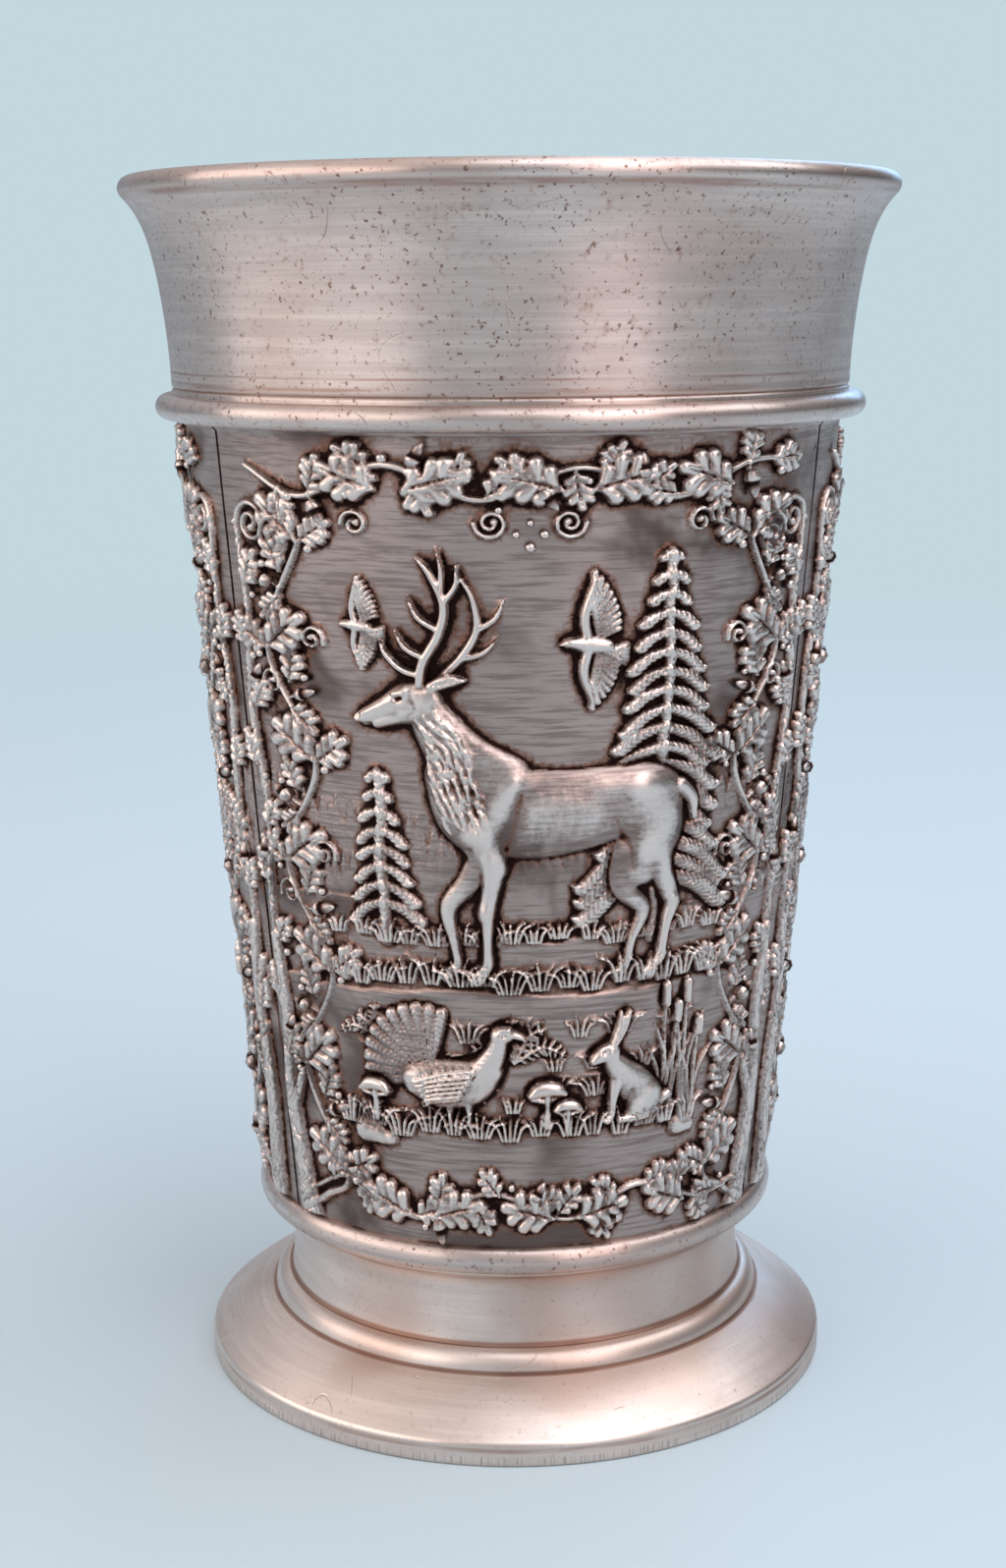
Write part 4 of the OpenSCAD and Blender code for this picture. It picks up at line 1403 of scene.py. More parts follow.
def grass(canvas: Canvas, y: float, seed: int, reach: float = 2.2, span: float = 15.0,
          gap: float = 1.0) -> None:
    """Adds a row of tufts with short curved blades.

    Args:
        canvas: Canvas to draw on.
        y: Height of the tufts' roots.
        seed: Seed of the differences.
        reach: Length of a blade.
        span: Half the width of the row.
        gap: How loosely the tufts stand.
    """
    random = np.random.default_rng(seed)
    x = -span
    while x < span:
        blades, foot = int(random.integers(4, 7)), y + gap * random.uniform(-0.35, 0.35)
        length = reach * random.uniform(0.7, 1.1)
        for i in range(blades):
            off = i - (blades - 1) / 2
            lean = off * 0.36 + random.uniform(-0.12, 0.12)
            tall = length * random.uniform(0.75, 1.15) * (1 - 0.12 * abs(lean))
            root = x + off * 0.3
            canvas.stroke([(root, foot, 0.18), (root + lean * tall * 0.35, foot + tall * 0.6, 0.17),
                           (root + lean * tall, foot + tall * (0.95 - 0.25 * abs(lean)), 0.08)],
                          0.62 * random.uniform(0.8, 1.2), ply=Ply.OVER)
        x += gap * random.uniform(1.6, 2.5)


class Picture(Enum):
    """The three woodland pictures, one on each panel."""

    STAG = "stag"
    HIND = "hind"
    CLEARING = "clearing"

    def figures(self) -> dict[type, tuple[tuple[Any, ...], ...]]:
        """Lists what stands in this picture, from back to front.

        Returns:
            The place and the settings of each form, by its class.
        """
        return {
            Picture.STAG: {
                Buzzard: (((4.2, 46.6, 0.92),), ((-11.6, 47.8, 0.62),)),
                Spruce: (((9.6, 24.4), 29, 3, 0.6), ((-11, 24.4), 12.8, 9, 0.5)),
                Deer: (((2.4, 21.4, 0.9), True),),
                Fern: (((-1.2, 15.2), 5, 4.2, 8), ((-12.4, 16.4), 5, 3.4, 12)),
                Reeds: (((12.4, 9.4), 4, 4),),
                Hare: (((8, 9.9, 0.726),),),
                Grouse: (((-5.8, 9.9, 0.943),),),
                Mushroom: (((1.4, 10.2, 1),), ((3, 9.6, 0.75),), ((-12.6, 10.2, 0.9),)),
            },
            Picture.HIND: {
                Buzzard: (((1.6, 47, 0.9, True),), ((10.2, 47.6, 0.62, True),)),
                Spruce: (((-9.4, 24.4), 29, 13, 0.6), ((10.6, 24.4), 16, 19, 0.5)),
                Deer: (((-2, 21.4, 0.9, True), False),),
                Fern: (((0.6, 15.4), 6, 4.4, 34), ((12, 16.4), 5, 3.4, 36)),
                Reeds: (((-12.6, 9.4), 3, 6),),
                Hare: (((-8, 9.9, 0.726, True),),),
                Grouse: (((5.8, 9.9, 0.943, True),),),
                Mushroom: (((-2.8, 10.2, 0.9),), ((-1.2, 9.8, 0.65),)),
            },
            Picture.CLEARING: {
                Buzzard: (((-3, 48.4, 0.8, True),),),
                Spruce: (((-10.6, 24.4), 26.1, 43, 0.6), ((11, 24.4), 12.8, 49, 0.5)),
                Deer: (((-2.4, 21.4, 0.9, True), True),),
                Fern: (((0.2, 15.4), 6, 4.6, 54), ((-12.2, 16.2), 5, 3.4, 56)),
                Reeds: (((12.2, 9.4), 4, 8),),
                Hare: (((-6.4, 9.9, 0.726),), ((6, 9.9, 0.726, True),)),
                Mushroom: (((-0.4, 10, 0.8),), ((-11.8, 10.2, 0.95),)),
            },
        }[self]

    def draw(self, canvas: Canvas) -> None:
        """Draws the picture from back to front, without its border.

        Args:
            canvas: Canvas to draw on.
        """
        hills(canvas, self)
        for kind, entries in self.figures().items():
            if kind is Deer:
                grass(canvas, 24.6, 11, 1.6)
            if kind is Fern:
                bank(canvas)
                for y, seed in ((11.8, 21), (14.6, 15), (17.4, 22)):
                    grass(canvas, y, seed, 1.7, 12, 1.9)
            for place, *settings in entries:
                with canvas.in_front():
                    kind(canvas, Place(*place), *settings).draw()
        for x, y, size in ((13.4, 8.8, 0.9), (-13.4, 8.8, 1.1), (-12, 8.5, 0.8)):
            stone = Figure(canvas, Place(x, y, size))
            stone.stroke([(-0.5, 0, 1), (0.6, -0.1, 0.8)], 0.7, hatch=Hatch(0.05, 0.6, 30, 2))
        grass(canvas, 9.2, 13, 2.4)


def hills(canvas: Canvas, picture: Picture) -> None:
    """Adds far wooded hills, as rows of treetops, and fine raised lines on the ground before them.

    Args:
        canvas: Canvas to draw on.
        picture: Picture that they stand in.
    """
    vary = np.random.default_rng(5 + list(Picture).index(picture)).uniform
    for row, (low, swing, reach) in enumerate(((33, 1.6, 1.9), (29.4, 1.2, 2.3))):
        phase = vary(0, FULL_TURN)
        crest = [(x, low + swing * sin(phase + x / 6.5) + 0.4 * sin(x / 2.1))
                 for x in np.linspace(-24.5, 24.5, 60)]
        canvas.terrace(crest, 0.1, 0.5, 3)
        for x, y in crest:
            tall = reach * vary(0.55, 1)
            x += vary(-0.3, 0.3)
            canvas.stroke([(x, y - 1, 0.6), (x, y + tall * 0.3, 0.36), (x, y + tall, 0.06)],
                          0.13 + 0.05 * row, hatch=Hatch(0.06, 0.34, 60, 0.2, True), ply=Ply.OVER)
    canvas.terrace([(-24, 27), (-14, 27.5), (-6, 25.4), (2, 24.6), (10, 26.4), (24, 28)], 0.18)
    for _ in range(36):
        x, y, long = vary(-15, 13), vary(10.5, 24), vary(1, 3.2)
        canvas.stroke([(x, y, 0.1), (x + long / 2, y + vary(-0.15, 0.15), 0.14), (x + long, y, 0.06)],
                      0.14, ply=Ply.OVER)


def bank(canvas: Canvas) -> None:
    """Adds the bank that the deer stands on, with grass along its edge."""
    canvas.terrace([(-24, 20.5), (-14, 20.2), (-6, 21), (4, 20.4), (14, 20.9), (24, 20)], 0.2)
    grass(canvas, 21, 12)


@dataclass
class CastPanel:
    """One cast relief plate, a third of the wall, with its acorns and buds."""

    wall: Wall
    node: str
    index: int
    picture: Picture
    angle: float = 119.2
    turn: float = 3.0
    depth: float = 1.1
    press: float = 0.2
    edge_w: float = 0.45
    rim_w: float = 0.35
    rim_rise: float = 0.18
    rim_soft: float = 0.15
    grain: float = 0.02
    pitting: float = 0.08
    deepest: float = -0.05
    pitch: float = 0.1
    hollow_reach: float = 0.32
    rub_reach: float = 0.8
    oak: Oak = field(init=False)
    canvas: Canvas = field(init=False)

    def draw(self) -> None:
        """Draws the whole panel flat."""
        mid_r = (self.wall.bottom_r + self.wall.top_r) / 2
        pitch = self.pitch * 1
        canvas = self.canvas = Canvas(radians(self.angle) * mid_r, UPPER_BEAD_Z - PANEL_Z, pitch)
        self.oak = Oak(canvas, 100 * (self.index + 1))
        self.picture.draw(canvas)
        for part in (self.oak.side, self.oak.garland):
            part(False)
            part(True)
        side = canvas.width / 2 - np.abs(canvas.x)
        edge = np.minimum(side, np.minimum(canvas.y, canvas.height - canvas.y))
        fade = eased(np.clip(edge / self.edge_w, 0, 1))
        lift = canvas.lift * self.depth / (1 + self.press * canvas.lift) * fade
        rim = np.clip((canvas.y - canvas.height + self.rim_w) / self.rim_soft, 0, 1)
        lift = np.maximum(lift, self.rim_rise * rim)
        crease = np.clip(3 * (blurred(lift, 0.35 / pitch) - lift), 0, 1)
        lift += self.grain * (value_noise(canvas.x, canvas.y, 0.45, 71) - 0.5)
        lift += self.pitting * crease * (value_noise(canvas.x, canvas.y, 0.21, 72) - 0.6)
        canvas.lift = np.maximum(lift, self.deepest)

    def wall_values(self, finish: Material) -> dict[str, Any]:
        """Gathers the bending trees' inputs.

        Args:
            finish: Material of the panel.

        Returns:
            The value of each input, by its name.
        """
        wall = self.wall
        return {"Direction": radians(self.turn + 120 * self.index),
                "Unrolled radius": (wall.bottom_r + wall.top_r) / 2 * MM,
                "Foot radius": wall.bottom_r * MM, "Foot height": PANEL_Z * MM,
                "Slope": wall.slope, "Finish": finish}

    def plate(self) -> Mesh:
        """Makes the flat closed plate with its marks of patina and wear.

        Returns:
            The plate, not yet bent.
        """
        canvas = self.canvas
        lift, cells = canvas.lift, 1 / canvas.pitch
        near = blurred(lift, self.hollow_reach * cells) - lift
        wide = blurred(lift, 3 * self.hollow_reach * cells) - lift
        hollow = np.clip(near * 2.6 + wide * 0.9, 0, 1)
        rub = np.clip((lift - blurred(lift, self.rub_reach * cells)) * 2.2 + lift * 0.45, 0, 1)
        high, wide_count = lift.shape
        index = np.arange(lift.size).reshape(high, wide_count)
        top = np.column_stack([canvas.x.ravel(), canvas.y.ravel(), lift.ravel()])
        back = [(x, y, -self.wall.panel_t) for y in (0, canvas.height) for x in canvas.columns]
        low = lift.size + np.arange(wide_count)
        up = low + wide_count
        quads = [np.stack([index[:-1, :-1], index[:-1, 1:], index[1:, 1:], index[1:, :-1]], -1),
                 np.stack([index[0, 1:], index[0, :-1], low[:-1], low[1:]], -1),
                 np.stack([index[-1, :-1], index[-1, 1:], up[1:], up[:-1]], -1),
                 np.stack([low[1:], low[:-1], up[:-1], up[1:]], -1)]
        faces = [face for block in quads for face in block.reshape(-1, 4).tolist()]
        faces.append([int(up[0]), int(low[0]), *index[:, 0].tolist()])
        faces.append([int(low[-1]), int(up[-1]), *index[::-1, -1].tolist()])
        plain = np.zeros(2 * wide_count)
        return new_mesh(self.node, np.vstack([top, back]), faces,
                        hollow=np.concatenate([hollow.ravel(), plain]),
                        rub=np.concatenate([rub.ravel(), plain]))

    def places(self, spots: Sequence[Spot], lift: float) -> Mesh:
        """Makes the points that small forms are set on.

        Args:
            spots: Place across, height, turn and size of each form.
            lift: How far the forms' middles stand over the ground.

        Returns:
            A mesh of loose points with turn and size.
        """
        rows = np.asarray(spots, float)
        points = np.column_stack([rows[:, :2], np.full(len(rows), lift)])
        return new_mesh("places", points, turn=rows[:, 2], size=rows[:, 3])


ACORN_RINGS = ((-0.46, 0.06, 0.3, 0.1), (-0.34, 0.39, 0.2, 0.4), (0.16, 0.57, 0, 0.8),
               (0.31, 0.5, 0.5, 0.3), (0.37, 0.41, 0.9, 0), (0.96, 0.4, 0, 0.5),
               (1.4, 0.2, 0, 0.7), (1.55, 0.03, 0, 0.9))
BUD_RINGS = ((-0.31, 0.18, 0.8, 0), (-0.15, 0.33, 0.5, 0), (0.06, 0.35, 0.1, 0.4),
             (0.25, 0.25, 0, 0.8), (0.35, 0.09, 0, 0.9))


def small_form(name: str, rows: Sequence[Spot], lying: bool) -> Mesh:
    """Makes a small round form of a few dozen faces.

    Args:
        name: Name of the mesh.
        rows: Place along the axis, radius, hollow and rub of each ring.
        lying: Whether its axis is x, and not z.

    Returns:
        The closed mesh.
    """
    sides, last = 8, len(rows) - 1
    points = [(radius * cos(FULL_TURN * i / sides), radius * sin(FULL_TURN * i / sides), along)
              for along, radius, _, _ in rows for i in range(sides)]
    around = [(i, (i + 1) % sides) for i in range(sides)]
    faces = [[k + i, k + j, k + sides + j, k + sides + i]
             for k in range(0, last * sides, sides) for i, j in around]
    faces += [list(range(sides))[::-1], [last * sides + i for i in range(sides)]]
    _, _, hollow, rub = np.repeat(np.array(rows), sides, axis=0).T
    return new_mesh(name, np.roll(points, 1, axis=1) if lying else points, faces, hollow=hollow, rub=rub)


# Finishes


class Finish:
    """A procedural material on Object coordinates, in millimetres inside its nodes."""

    def __init__(self, name: str, roughness: float, anisotropic: float) -> None:
        """Starts the material.

        Args:
            name: Name of the material.
            roughness: Roughness set on the shader's input, until a node is linked to
                it. roughness: Roughness that an export falls back on.
            anisotropic: How far the highlights are drawn out.
        """
        self.material = bpy.data.materials.new(name)
        self.material.use_nodes = True
        self.tree = self.material.node_tree
        self.shader = self.tree.nodes["Principled BSDF"]
        for label, value in (("Metallic", 1), ("Roughness", roughness), ("Anisotropic", anisotropic)):
            self.shader.inputs[label].default_value = value
        here = add(self.tree, "ShaderNodeTexCoord").outputs["Object"]
        self.place = self.add("ShaderNodeVectorMath", {0: here, "Scale": 1 / MM}, operation="SCALE")
        self.height = self.add("ShaderNodeSeparateXYZ", {0: self.place}).outputs["Z"]
        flat = self.add("ShaderNodeVectorMath", {0: self.place, 1: (1, 1, 0)}, operation="MULTIPLY")
        self.radius = self.add("ShaderNodeVectorMath", {0: flat}, operation="LENGTH").outputs["Value"]
        if anisotropic:
            around = add(self.tree, "ShaderNodeTangent", direction_type="RADIAL", axis="Z")
            self.tree.links.new(around.outputs[0], self.shader.inputs["Tangent"])
            self.shader.inputs["Anisotropic Rotation"].default_value = 0.25

    def add(self, kind: str, inputs: dict[Any, Any] | None = None, **settings: Any) -> Node:
        """Adds a node to the material's tree."""
        return add(self.tree, kind, inputs, **settings)

    def math(self, operation: str, *values: Any) -> Node:
        """Joins values with an arithmetic operation."""
        return calculate(self.tree, operation, *values)

    def band(self, value: Any, low: float, high: float, to_low: float = 0.0, to_high: float = 1.0) -> Any:
        """Smooth step of a value from low to high."""
        return self.add("ShaderNodeMapRange", {"Value": value, "From Min": low, "From Max": high,
                        "To Min": to_low, "To Max": to_high}, interpolation_type="SMOOTHSTEP")

    def sway(self, value: Any, share: float, base: Any) -> Any:
        """Adds a share of a value's swing about one half to a base."""
        return self.math("MULTIPLY_ADD", self.math("SUBTRACT", value, 0.5), share, base)

    def paint(self, colour: str, *coats: tuple[Any, str]) -> Any:
        """Lays coats over a ground colour.

        Args:
            colour: The ground colour.
            coats: Share and colour of each coat, from the lowest up.

        Returns:
            The output with the last colour.
        """
        face: Any = linear(colour)
        for share, coat in coats:
            face = mix_colours(self.tree, share, face, linear(coat))
        return face

    def noise(self, size: float, detail: float = 2.0, rough: float = 0.5, warp: float = 0.0) -> Any:
        """Noise with lumps of the given size in millimetres."""
        return self.add("ShaderNodeTexNoise", {"Vector": self.place, "Scale": 1 / size, "Detail": detail,
                        "Roughness": rough, "Distortion": warp}).outputs[0]

    def ring_lines(self, pitch: float, drift: float = 30.0, detail: float = 2.0) -> Any:
        """Lines that a turning tool leaves round the axis, as noise stretched round it.

        Args:
            pitch: Distance between two lines.
            drift: Length of a line.
            detail: Finer lines between them.

        Returns:
            The output with values about 0.5.
        """
        long = self.add("ShaderNodeVectorMath", {0: self.place, 1: (1 / drift, 1 / drift, 1 / pitch)},
                        operation="MULTIPLY")
        across = self.math("MULTIPLY", self.radius, 1 / pitch)
        return self.add("ShaderNodeTexNoise", {"Vector": long, "W": across, "Scale": 1, "Detail": detail,
                        "Roughness": 0.6}, noise_dimensions="4D").outputs[0]

    def pits(self, spacing: float, largest: float, share: float) -> Any:
        """Small round pits.

        Args:
            spacing: Distance between two pits.
            largest: Radius of the largest pit.
            share: Share of the places that have a pit.

        Returns:
            The output, 1 inside a pit and 0 outside.
        """
        cells = self.add("ShaderNodeTexVoronoi", {"Vector": self.place, "Scale": 1 / spacing})
        pick = self.add("ShaderNodeSeparateColor", {0: cells.outputs["Color"]})
        size = self.band(pick.outputs[0], 1 - share, 1, 0, largest / spacing)
        return self.math("SUBTRACT", 1, self.band(self.math("DIVIDE", cells.outputs["Distance"],
                         self.math("MAXIMUM", size, 0.001)), 0.6, 1)).outputs[0]

    def scratches(self) -> Any:
        """Fine wandering scratches that break off.

        Returns:
            The output, 1 in a scratch and 0 outside.
        """
        away = self.math("ABSOLUTE", self.math("SUBTRACT", self.noise(9, 0, 0.5, 1.2), 0.5))
        line = self.math("SUBTRACT", 1, self.band(away, 0, 0.004))
        return self.math("MULTIPLY", line, self.band(self.noise(6.3, 1), 0.56, 0.62))

    def ticks(self, radius: float) -> Any:
        """Small upright marks, 0.25 mm apart, round a standing edge from the given radius outwards.

        Args:
            radius: Radius from which they stand, in millimetres.

        Returns:
            The output, up to 0.4 in a mark and 0 outside.
        """
        flat = self.add("ShaderNodeSeparateXYZ", {0: self.place})
        turn = self.math("ARCTAN2", flat.outputs["Y"], flat.outputs["X"])
        row = self.add("ShaderNodeTexNoise", {"W": self.math("MULTIPLY", turn, radius * 4), "Scale": 1},
                       noise_dimensions="1D")
        inside = self.math("MULTIPLY", self.band(self.height, 0.1, 0.2), self.band(self.height, 0.9, 0.6))
        outer = self.math("MULTIPLY", inside, self.band(self.radius, radius - 0.2, radius))
        return self.math("MULTIPLY", outer, self.band(row, 0.45, 0.75, 0, 0.4))

    def mark(self, name: str) -> NodeSocket:
        """Value of one of the mesh's marks of wear."""
        return self.add("ShaderNodeAttribute", attribute_name=name).outputs["Fac"]

    def bump(self, height: Any, depth: float, under: Node | None = None) -> Node:
        """Raises the surface by a value times a depth.

        Args:
            height: The value.
            depth: The depth in millimetres.
            under: Earlier bump that it lies on.

        Returns:
            The new bump.
        """
        inputs = {"Height": height, "Distance": depth * MM, "Strength": 1}
        if under is not None:
            inputs["Normal"] = under
        return self.add("ShaderNodeBump", inputs)

    def close(self, colour: Any, roughness: Any, normal: Any) -> Material:
        """Links the last nodes to the shader.

        Args:
            colour: Base colour.
            roughness: Roughness.
            normal: Normal of the bumps.

        Returns:
            The material.
        """
        for name, value in (("Base Color", colour), ("Roughness", roughness), ("Normal", normal)):
            output = value if isinstance(value, NodeSocket) else value.outputs[0]
            self.tree.links.new(output, self.shader.inputs[name])
        return self.material


@dataclass(frozen=True)
class TurnedPewter:
    """Pewter turned on a lathe: a soft warm grey with fine rings, pits and a few scratches.

    Crease, warm_share and speck_share say how strongly patina in hollows, large clouds of
    tarnish and small blotches show. The lines' pitch is twice the real one, so that they show.
    A stain ring is the height and the half width of a brown line round the piece.
    """

    name: str
    metal: str = "#d8cbc4"
    dull: str = "#ab9c97"
    tarnish: str = "#8a5f49"
    warm: str = "#b8937f"
    patina: str = "#4a3630"
    roughness: float = 0.38
    line_pitch: float = 0.22
    line_depth: float = 0.008
    pit_share: float = 0.8
    crease: float = 0.85
    anisotropic: float = 0.8
    warm_share: float = 0.3
    speck_share: float = 0.75
    stain_rings: tuple[Point, ...] = ()
    tick_radius: float = 0.0

    def material(self) -> Material:
        """Builds the material.

        Returns:
            The material.
        """
        f = Finish(self.name, self.roughness, self.anisotropic)
        lines = f.ring_lines(self.line_pitch)
        streaks = f.ring_lines(self.line_pitch * 3, 9)
        broad = f.ring_lines(self.line_pitch * 5, 60)
        where = f.band(f.noise(7, 2), 0.34, 0.56, 0.4, 1)
        pits = f.math("MULTIPLY", f.math("MAXIMUM", f.pits(0.95, 0.14, self.pit_share),
                      f.pits(0.43, 0.06, self.pit_share)), where)
        specks = f.math("MULTIPLY", f.band(f.noise(0.4, 3, 0.6), 0.595, 0.69), where)
        blots = f.band(f.noise(1.6, 4, 0.7), 0.56, 0.74, 0, 0.5)
        scratch = f.scratches()
        cloud = f.noise(8, 3, 0.55)
        hollow, rub = f.mark("hollow"), f.mark("rub")
        stain = f.math("MULTIPLY", hollow,
                       f.band(f.noise(6, 2), 0.3, 0.7, self.crease * 0.75, self.crease))
        brown = f.math("MAXIMUM", f.band(stain, 0.15, 0.6, 0, 0.75),
                       f.math("MULTIPLY", f.math("MAXIMUM", specks, blots), self.speck_share))
        for height, half in self.stain_rings:
            away = f.math("ABSOLUTE", f.math("SUBTRACT", f.height, height))
            ring = f.math("MULTIPLY", f.band(away, half, half * 0.2), f.band(streaks, 0.38, 0.62, 0.05, 0.6))
            brown = f.math("MAXIMUM", brown, ring)
        warmth = f.band(f.noise(17, 2, 0.5, 0.4), 0.42, 0.66, 0, self.warm_share)
        dark = f.math("MAXIMUM", pits, f.math("MULTIPLY", f.math("MAXIMUM", scratch, specks), 0.5))
        dark = f.math("MAXIMUM", f.math("MULTIPLY", dark, self.speck_share), f.band(stain, 0.6, 1.1))
        if self.tick_radius:
            dark = f.math("MAXIMUM", dark, f.ticks(self.tick_radius))
        face = f.paint(self.metal,
                       (f.band(cloud, 0.42, 0.75, 0, 0.35), self.dull), (warmth, self.warm),
                       (f.band(streaks, 0.62, 0.38, 0, 0.3), self.dull),
                       (f.band(lines, 0.62, 0.4, 0, 0.25), self.dull),
                       (brown, self.tarnish), (dark, self.patina))
        rough = f.sway(cloud, 0.15, self.roughness)
        rough = f.math("MULTIPLY_ADD", brown, 0.12, rough)
        rough = f.math("MULTIPLY_ADD", rub, -0.1, rough)
        wavy = f.bump(f.noise(11, 1), 0.04)
        ringed = f.bump(lines, self.line_depth, wavy)
        ringed = f.bump(broad, self.line_depth * 1.5, ringed)
        marked = f.bump(f.math("ADD", pits, scratch), -0.03, ringed)
        return f.close(face, rough, marked)


@dataclass(frozen=True)
class CastPewter:
    """Cast pewter, blackened and then rubbed bright on what stands high.

    Bright is on the high points, smoke on the ground where the blackening was left.
    """

    name: str
    bright: str = "#ddd1ca"
    metal: str = "#ab9b95"
    tarnish: str = "#7a5443"
    smoke: str = "#54443f"
    patina: str = "#281a18"
    roughness: float = 0.36
    brush_pitch: float = 0.24

    def material(self) -> Material:
        """Builds the material.

        Returns:
            The material.
        """
        f = Finish(self.name, self.roughness, 0.3)
        hollow, rub = f.mark("hollow"), f.mark("rub")
        brush = f.ring_lines(self.brush_pitch, 4, 3)
        cloud = f.noise(11, 3, 0.55, 0.6)
        grain = f.noise(0.35, 3, 0.6)
        dark = f.sway(grain, 0.4, hollow)
        dark = f.sway(brush, 0.3, dark)
        worn = f.sway(brush, 0.4, rub)
        worn = f.sway(grain, 0.4, worn)
        left = f.sway(brush, 0.5, f.band(cloud, 0.4, 0.72))
        face = f.paint(self.metal,
                       (f.band(left, 0.1, 1, 0, 0.85), self.smoke),
                       (f.band(brush, 0.58, 0.36, 0, 0.5), self.smoke),
                       (f.band(dark, 0.16, 0.4, 0, 0.8), self.tarnish),
                       (f.band(dark, 0.32, 0.62), self.patina), (f.band(worn, 0.28, 0.85), self.bright))
        rough = f.math("MULTIPLY_ADD", f.band(dark, 0.1, 0.7), 0.25, self.roughness)
        rough = f.math("MULTIPLY_ADD", f.band(worn, 0.25, 0.8), -0.06, rough)
        cast = f.bump(grain, 0.015)
        brushed = f.bump(brush, 0.012, cast)
        return f.close(face, rough, brushed)


@dataclass(frozen=True)
class SoftSolder:
    """Soft solder: a dull grey tin alloy that froze in small lumps."""

    name: str
    metal: str = "#6e6560"
    patina: str = "#2c211e"
    roughness: float = 0.5

    def material(self) -> Material:
        """Builds the material.

        Returns:
            The material.
        """
        f = Finish(self.name, self.roughness, 0)
        lumps = f.noise(0.8, 3, 0.6)
        face = f.paint(self.patina, (f.band(lumps, 0.35, 0.65), self.metal))
        rough = f.sway(lumps, -0.3, self.roughness)
        return f.close(face, rough, f.bump(lumps, 0.08))


def make_finishes() -> dict[str, Material]:
    """Builds the cup's finishes.

    Returns:
        The material of each slot.
    """
    lip = TurnedPewter("turned_pewter",
                       stain_rings=((CUP_H - 1.6, 0.4), (BAND_Z + 0.9, 0.3), (BAND_Z + 1.7, 0.15)))
    foot = TurnedPewter("satin_turned_pewter", metal="#e6dad2", dull="#c6b7af", roughness=0.4,
                        line_depth=0.004, pit_share=0.2, anisotropic=0.5, warm_share=0.6, speck_share=0.15,
                        stain_rings=((FOOT_H - 1.1, 0.25), (1.3, 0.3)), tick_radius=25.3)
    liner = TurnedPewter("dull_turned_pewter", metal="#c6bdb7", dull="#978c86", roughness=0.4,
                         line_pitch=0.35, line_depth=0.01, pit_share=0.3, anisotropic=0.5)
    return {"turned_pewter": lip.material(), "foot_pewter": foot.material(),
            "liner_pewter": liner.material(),
            "relief_pewter": CastPewter("blackened_cast_pewter").material(),
            "solder": SoftSolder("soft_solder").material()}


# The cup


@dataclass
class TurnedWork:
    """The turned sub-assembly: lip band, beads, liner, floor, foot and solder rings."""

    wall: Wall
    segments: int = 192

    def build(self, finishes: dict[str, Material]) -> None:
        """Turns each outline and puts it in its solid's place.

        Args:
            finishes: Material of each slot.
        """
        recipe, foot = turning_recipe(), Foot()
        rings = Rings(self.wall, foot)
        for name, node, outline, slot in (
            ("lip_band_turned", "lip_band", LipBand(self.wall).outline(), "turned_pewter"),
            ("upper_bead_wire", "upper_bead", rings.upper_bead(), "turned_pewter"),
            ("lower_bead_ring", "lower_bead", rings.lower_bead(), "turned_pewter"),
            ("foot_turned", "foot", foot.outline(), "foot_pewter"),
            ("liner_cone", "liner", rings.liner(), "liner_pewter"),
            ("floor_plate", "floor_disc", rings.floor(), "liner_pewter"),
            ("floor_solder_fillet", "floor_solder", rings.floor_solder(), "solder"),
            ("lap_solder_film", "lap_solder", rings.lap_solder(), "solder"),
            ("foot_solder_fillet", "foot_solder", rings.foot_solder(), "solder"),
        ):
            mesh = recipe.run(outline.mesh(node), {"Segments": self.segments, "Finish": finishes[slot]})
            place_piece(name, mesh, slot, node)


@dataclass
class ReliefWork:
    """The cast sub-assembly: three relief plates with their acorns and buds, and the seams."""

    wall: Wall
    most: int = 198_000

    def build(self, finishes: dict[str, Material]) -> None:
        """Draws, bends and dresses the panels.

        Args:
            finishes: Material of each slot.
        """
        bend, scatter = plate_recipe(), scatter_recipe()
        forms = (("acorns", ACORN_RINGS, True), ("buds", BUD_RINGS, False))
        carriers = {name: bpy.data.objects.new(name, small_form(name, *form)) for name, *form in forms}
        most = self.most
        for index, (node, picture) in enumerate((("relief_panel_front", Picture.STAG),
                                                 ("relief_panel_right", Picture.HIND),
                                                 ("relief_panel_left", Picture.CLEARING))):
            panel = CastPanel(self.wall, node, index, picture)
            panel.draw()
            values = panel.wall_values(finishes["relief_pewter"])
            plate = bend.run(panel.plate(), values, most, crease=80.0)
            place_piece(f"{node}_cast", plate, "relief_pewter", node)
            for name, spots, lift in (("acorns", panel.oak.acorns, 0.5), ("buds", panel.oak.buds, 0.32)):
                mesh = scatter.run(panel.places(spots, lift), {**values, "Form": carriers[name]})
                place_piece(f"{node}_{name}", mesh, "relief_pewter", node)
        for carrier in carriers.values():
            bpy.data.objects.remove(carrier)
        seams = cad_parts["panel_seams"]
        for item in seams.material_slots:
            item.material = finishes["solder"]
        LOG.info("panel_seams: kept, with a solder finish")


# Studio and camera


@dataclass(frozen=True)
class SoftBox:
    """A soft box light that aims at the cup's middle.

    Angles are in degrees, sizes in metres, and a radiance of 1 is white.
    """

    name: str
    azimuth: float
    elevation: float
    width: float
    height: float
    radiance: float
    colour: str
    distance: float = 0.6

    def hang(self) -> None:
        """Puts the light into the scene."""
        light = bpy.data.lights.new(self.name, "AREA")
        light.shape, light.size, light.size_y = "RECTANGLE", self.width, self.height
        light.energy = self.radiance * pi * self.width * self.height
        light.color = linear(self.colour)[:3]
        holder = new_object(self.name, light)
        az, el = radians(self.azimuth), radians(self.elevation)
        way = Vector((sin(az) * cos(el), -cos(az) * cos(el), sin(el)))
        holder.location = Vector((0, 0, CUP_H * MM / 2)) + way * self.distance
        holder.rotation_euler = way.to_track_quat("Z", "Y").to_euler()


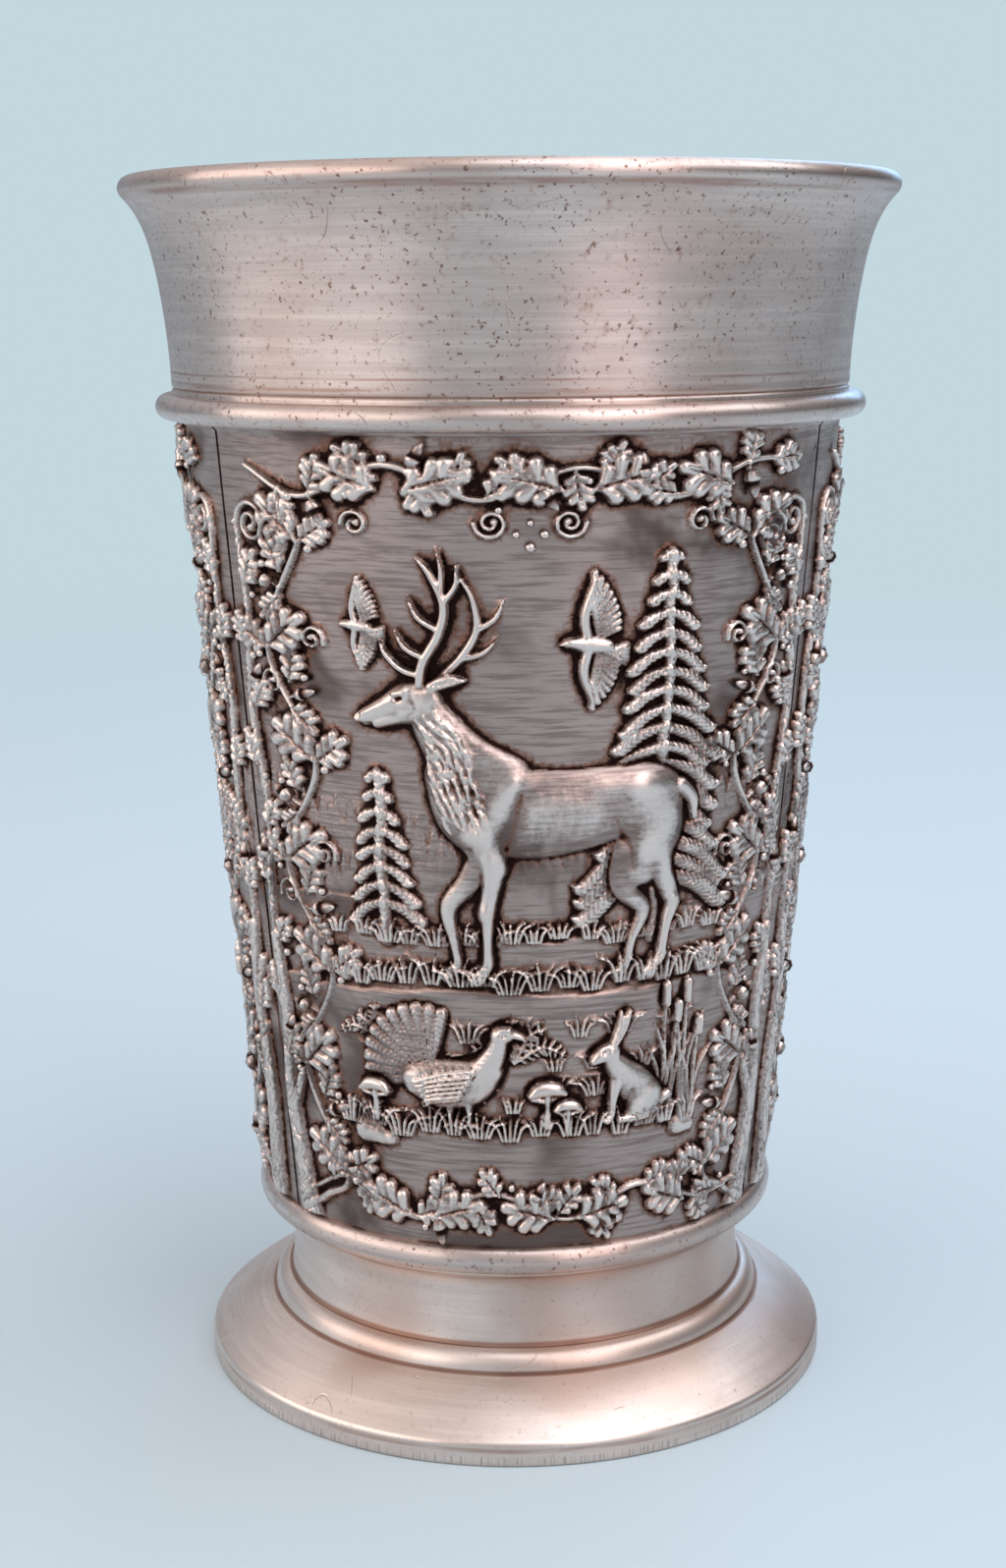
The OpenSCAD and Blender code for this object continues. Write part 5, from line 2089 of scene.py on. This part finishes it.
@dataclass(frozen=True)
class Studio:
    """Plain pale floor that fades into a plain backdrop, and plain soft light.

    The floor turns into the backdrop between the radii of the fade, in metres.
    """

    floor_r: float = 8.0
    floor_colour: str = "#bccdd5"
    backdrop: str = "#c3d7df"
    fade: tuple[float, float] = (0.12, 0.55)
    horizon: str = "#8e969f"
    right_side: str = "#1c262e"
    zenith: str = "#f6edec"
    boxes: tuple[SoftBox, ...] = (
        SoftBox("window_left", -66, 20, 0.84, 0.4, 1.68, "#ffece3"),
        SoftBox("front_right", 33, 20, 0.3, 0.4, 1.8, "#ffe9e6"),
        SoftBox("back_right", 162, 28, 0.26, 0.4, 2.0, "#9ccffb"),
        SoftBox("high_right", 66, 62, 0.8, 0.6, 1.7, "#f2f6ff"),
    )

    def build(self) -> None:
        """Makes the floor, the world and the lights."""
        self.floor()
        self.world()
        for box in self.boxes:
            box.hang()

    def floor(self) -> None:
        """Makes a large pale disc under the cup."""
        sides, radius = 96, self.floor_r / MM
        ring = [(*point, 0) for point in arc((0, 0), (radius, radius), 0, 360, sides)[1:]]
        disc = new_object("floor", new_mesh("floor", np.array(ring), [range(sides)]))
        material = bpy.data.materials.new("pale_paper")
        material.use_nodes = True
        tree, shader = material.node_tree, material.node_tree.nodes["Principled BSDF"]
        for label, value in (("Base Color", linear(self.floor_colour)), ("Specular IOR Level", 0.1),
                             ("Roughness", 0.9)):
            shader.inputs[label].default_value = value
        here = add(tree, "ShaderNodeTexCoord").outputs["Object"]
        away = add(tree, "ShaderNodeVectorMath", {0: here}, operation="LENGTH")
        far = add(tree, "ShaderNodeMapRange", {"Value": away.outputs["Value"], "From Min": self.fade[0],
                  "From Max": self.fade[1]}, interpolation_type="SMOOTHSTEP")
        seen = add(tree, "ShaderNodeLightPath").outputs["Is Camera Ray"]
        share = calculate(tree, "MULTIPLY", far, seen)
        glow = add(tree, "ShaderNodeEmission", {"Color": linear(self.backdrop), "Strength": 1.0})
        mixed = add(tree, "ShaderNodeMixShader", {0: share, 1: shader, 2: glow})
        tree.links.new(mixed.outputs[0], tree.nodes["Material Output"].inputs["Surface"])
        disc.data.materials.append(material)

    def world(self) -> None:
        """Makes a plain sky, darker low on the right, with the backdrop's colour for the eye."""
        world = bpy.data.worlds.new("soft_room")
        bpy.context.scene.world = world
        world.use_nodes = True
        tree = world.node_tree
        way = add(tree, "ShaderNodeSeparateXYZ", {0: add(tree, "ShaderNodeTexCoord").outputs["Generated"]})
        up, right = (add(tree, "ShaderNodeMapRange", {"Value": way.outputs[axis], "From Min": low,
                     "From Max": high}) for axis, low, high in (("Z", 0.05, 0.85), ("X", 0.3, 0.8)))
        sky = mix_colours(tree, right, linear(self.horizon), linear(self.right_side))
        sky = mix_colours(tree, up, sky, linear(self.zenith))
        seen = add(tree, "ShaderNodeLightPath").outputs["Is Camera Ray"]
        sky = mix_colours(tree, seen, sky, linear(self.backdrop))
        tree.links.new(sky, tree.nodes["Background"].inputs["Color"])


@dataclass(frozen=True)
class ViewPoint:
    """Camera at the photograph's viewing angle, fitted to the cup's circles.

    Lengths are in millimetres, angles in radians, and focal and long side in the photo's pixels.
    """

    distance: float = 190.1
    height: float = 86.5
    yaw: float = -0.0041
    pitch: float = 0.2047
    roll: float = 0.0065
    focal: float = 2428.3
    long_side: float = 1596.0

    def place(self) -> None:
        """Puts the camera into the scene."""
        lens = bpy.data.cameras.new("camera")
        lens.sensor_width = 36.0
        lens.lens = self.focal / self.long_side * lens.sensor_width
        lens.clip_start, lens.clip_end = 0.01, 50.0
        cy, sy, cp, sp = cos(self.yaw), sin(self.yaw), cos(self.pitch), sin(self.pitch)
        ahead = Vector((sy * cp, cy * cp, -sp))
        right, up = Vector((cy, -sy, 0)), Vector((sy * sp, cy * sp, cp))
        cr, sr = cos(self.roll), sin(self.roll)
        axes = Matrix((cr * right - sr * up, sr * right + cr * up, -ahead)).transposed().to_4x4()
        camera = new_object("camera", lens)
        camera.matrix_world = Matrix.Translation(Vector((0, -self.distance, self.height)) * MM) @ axes
        bpy.context.scene.camera = camera


def main() -> None:
    """Builds the cup, the studio and the camera, and reports each piece."""
    logging.basicConfig(level=logging.INFO, format="%(name)s %(message)s")
    ViewPoint().place()
    finishes, wall = make_finishes(), Wall()
    TurnedWork(wall).build(finishes)
    ReliefWork(wall).build(finishes)
    Studio().build()
    bpy.context.scene.view_settings.view_transform = "Standard"


if __name__ == "__main__":
    main()
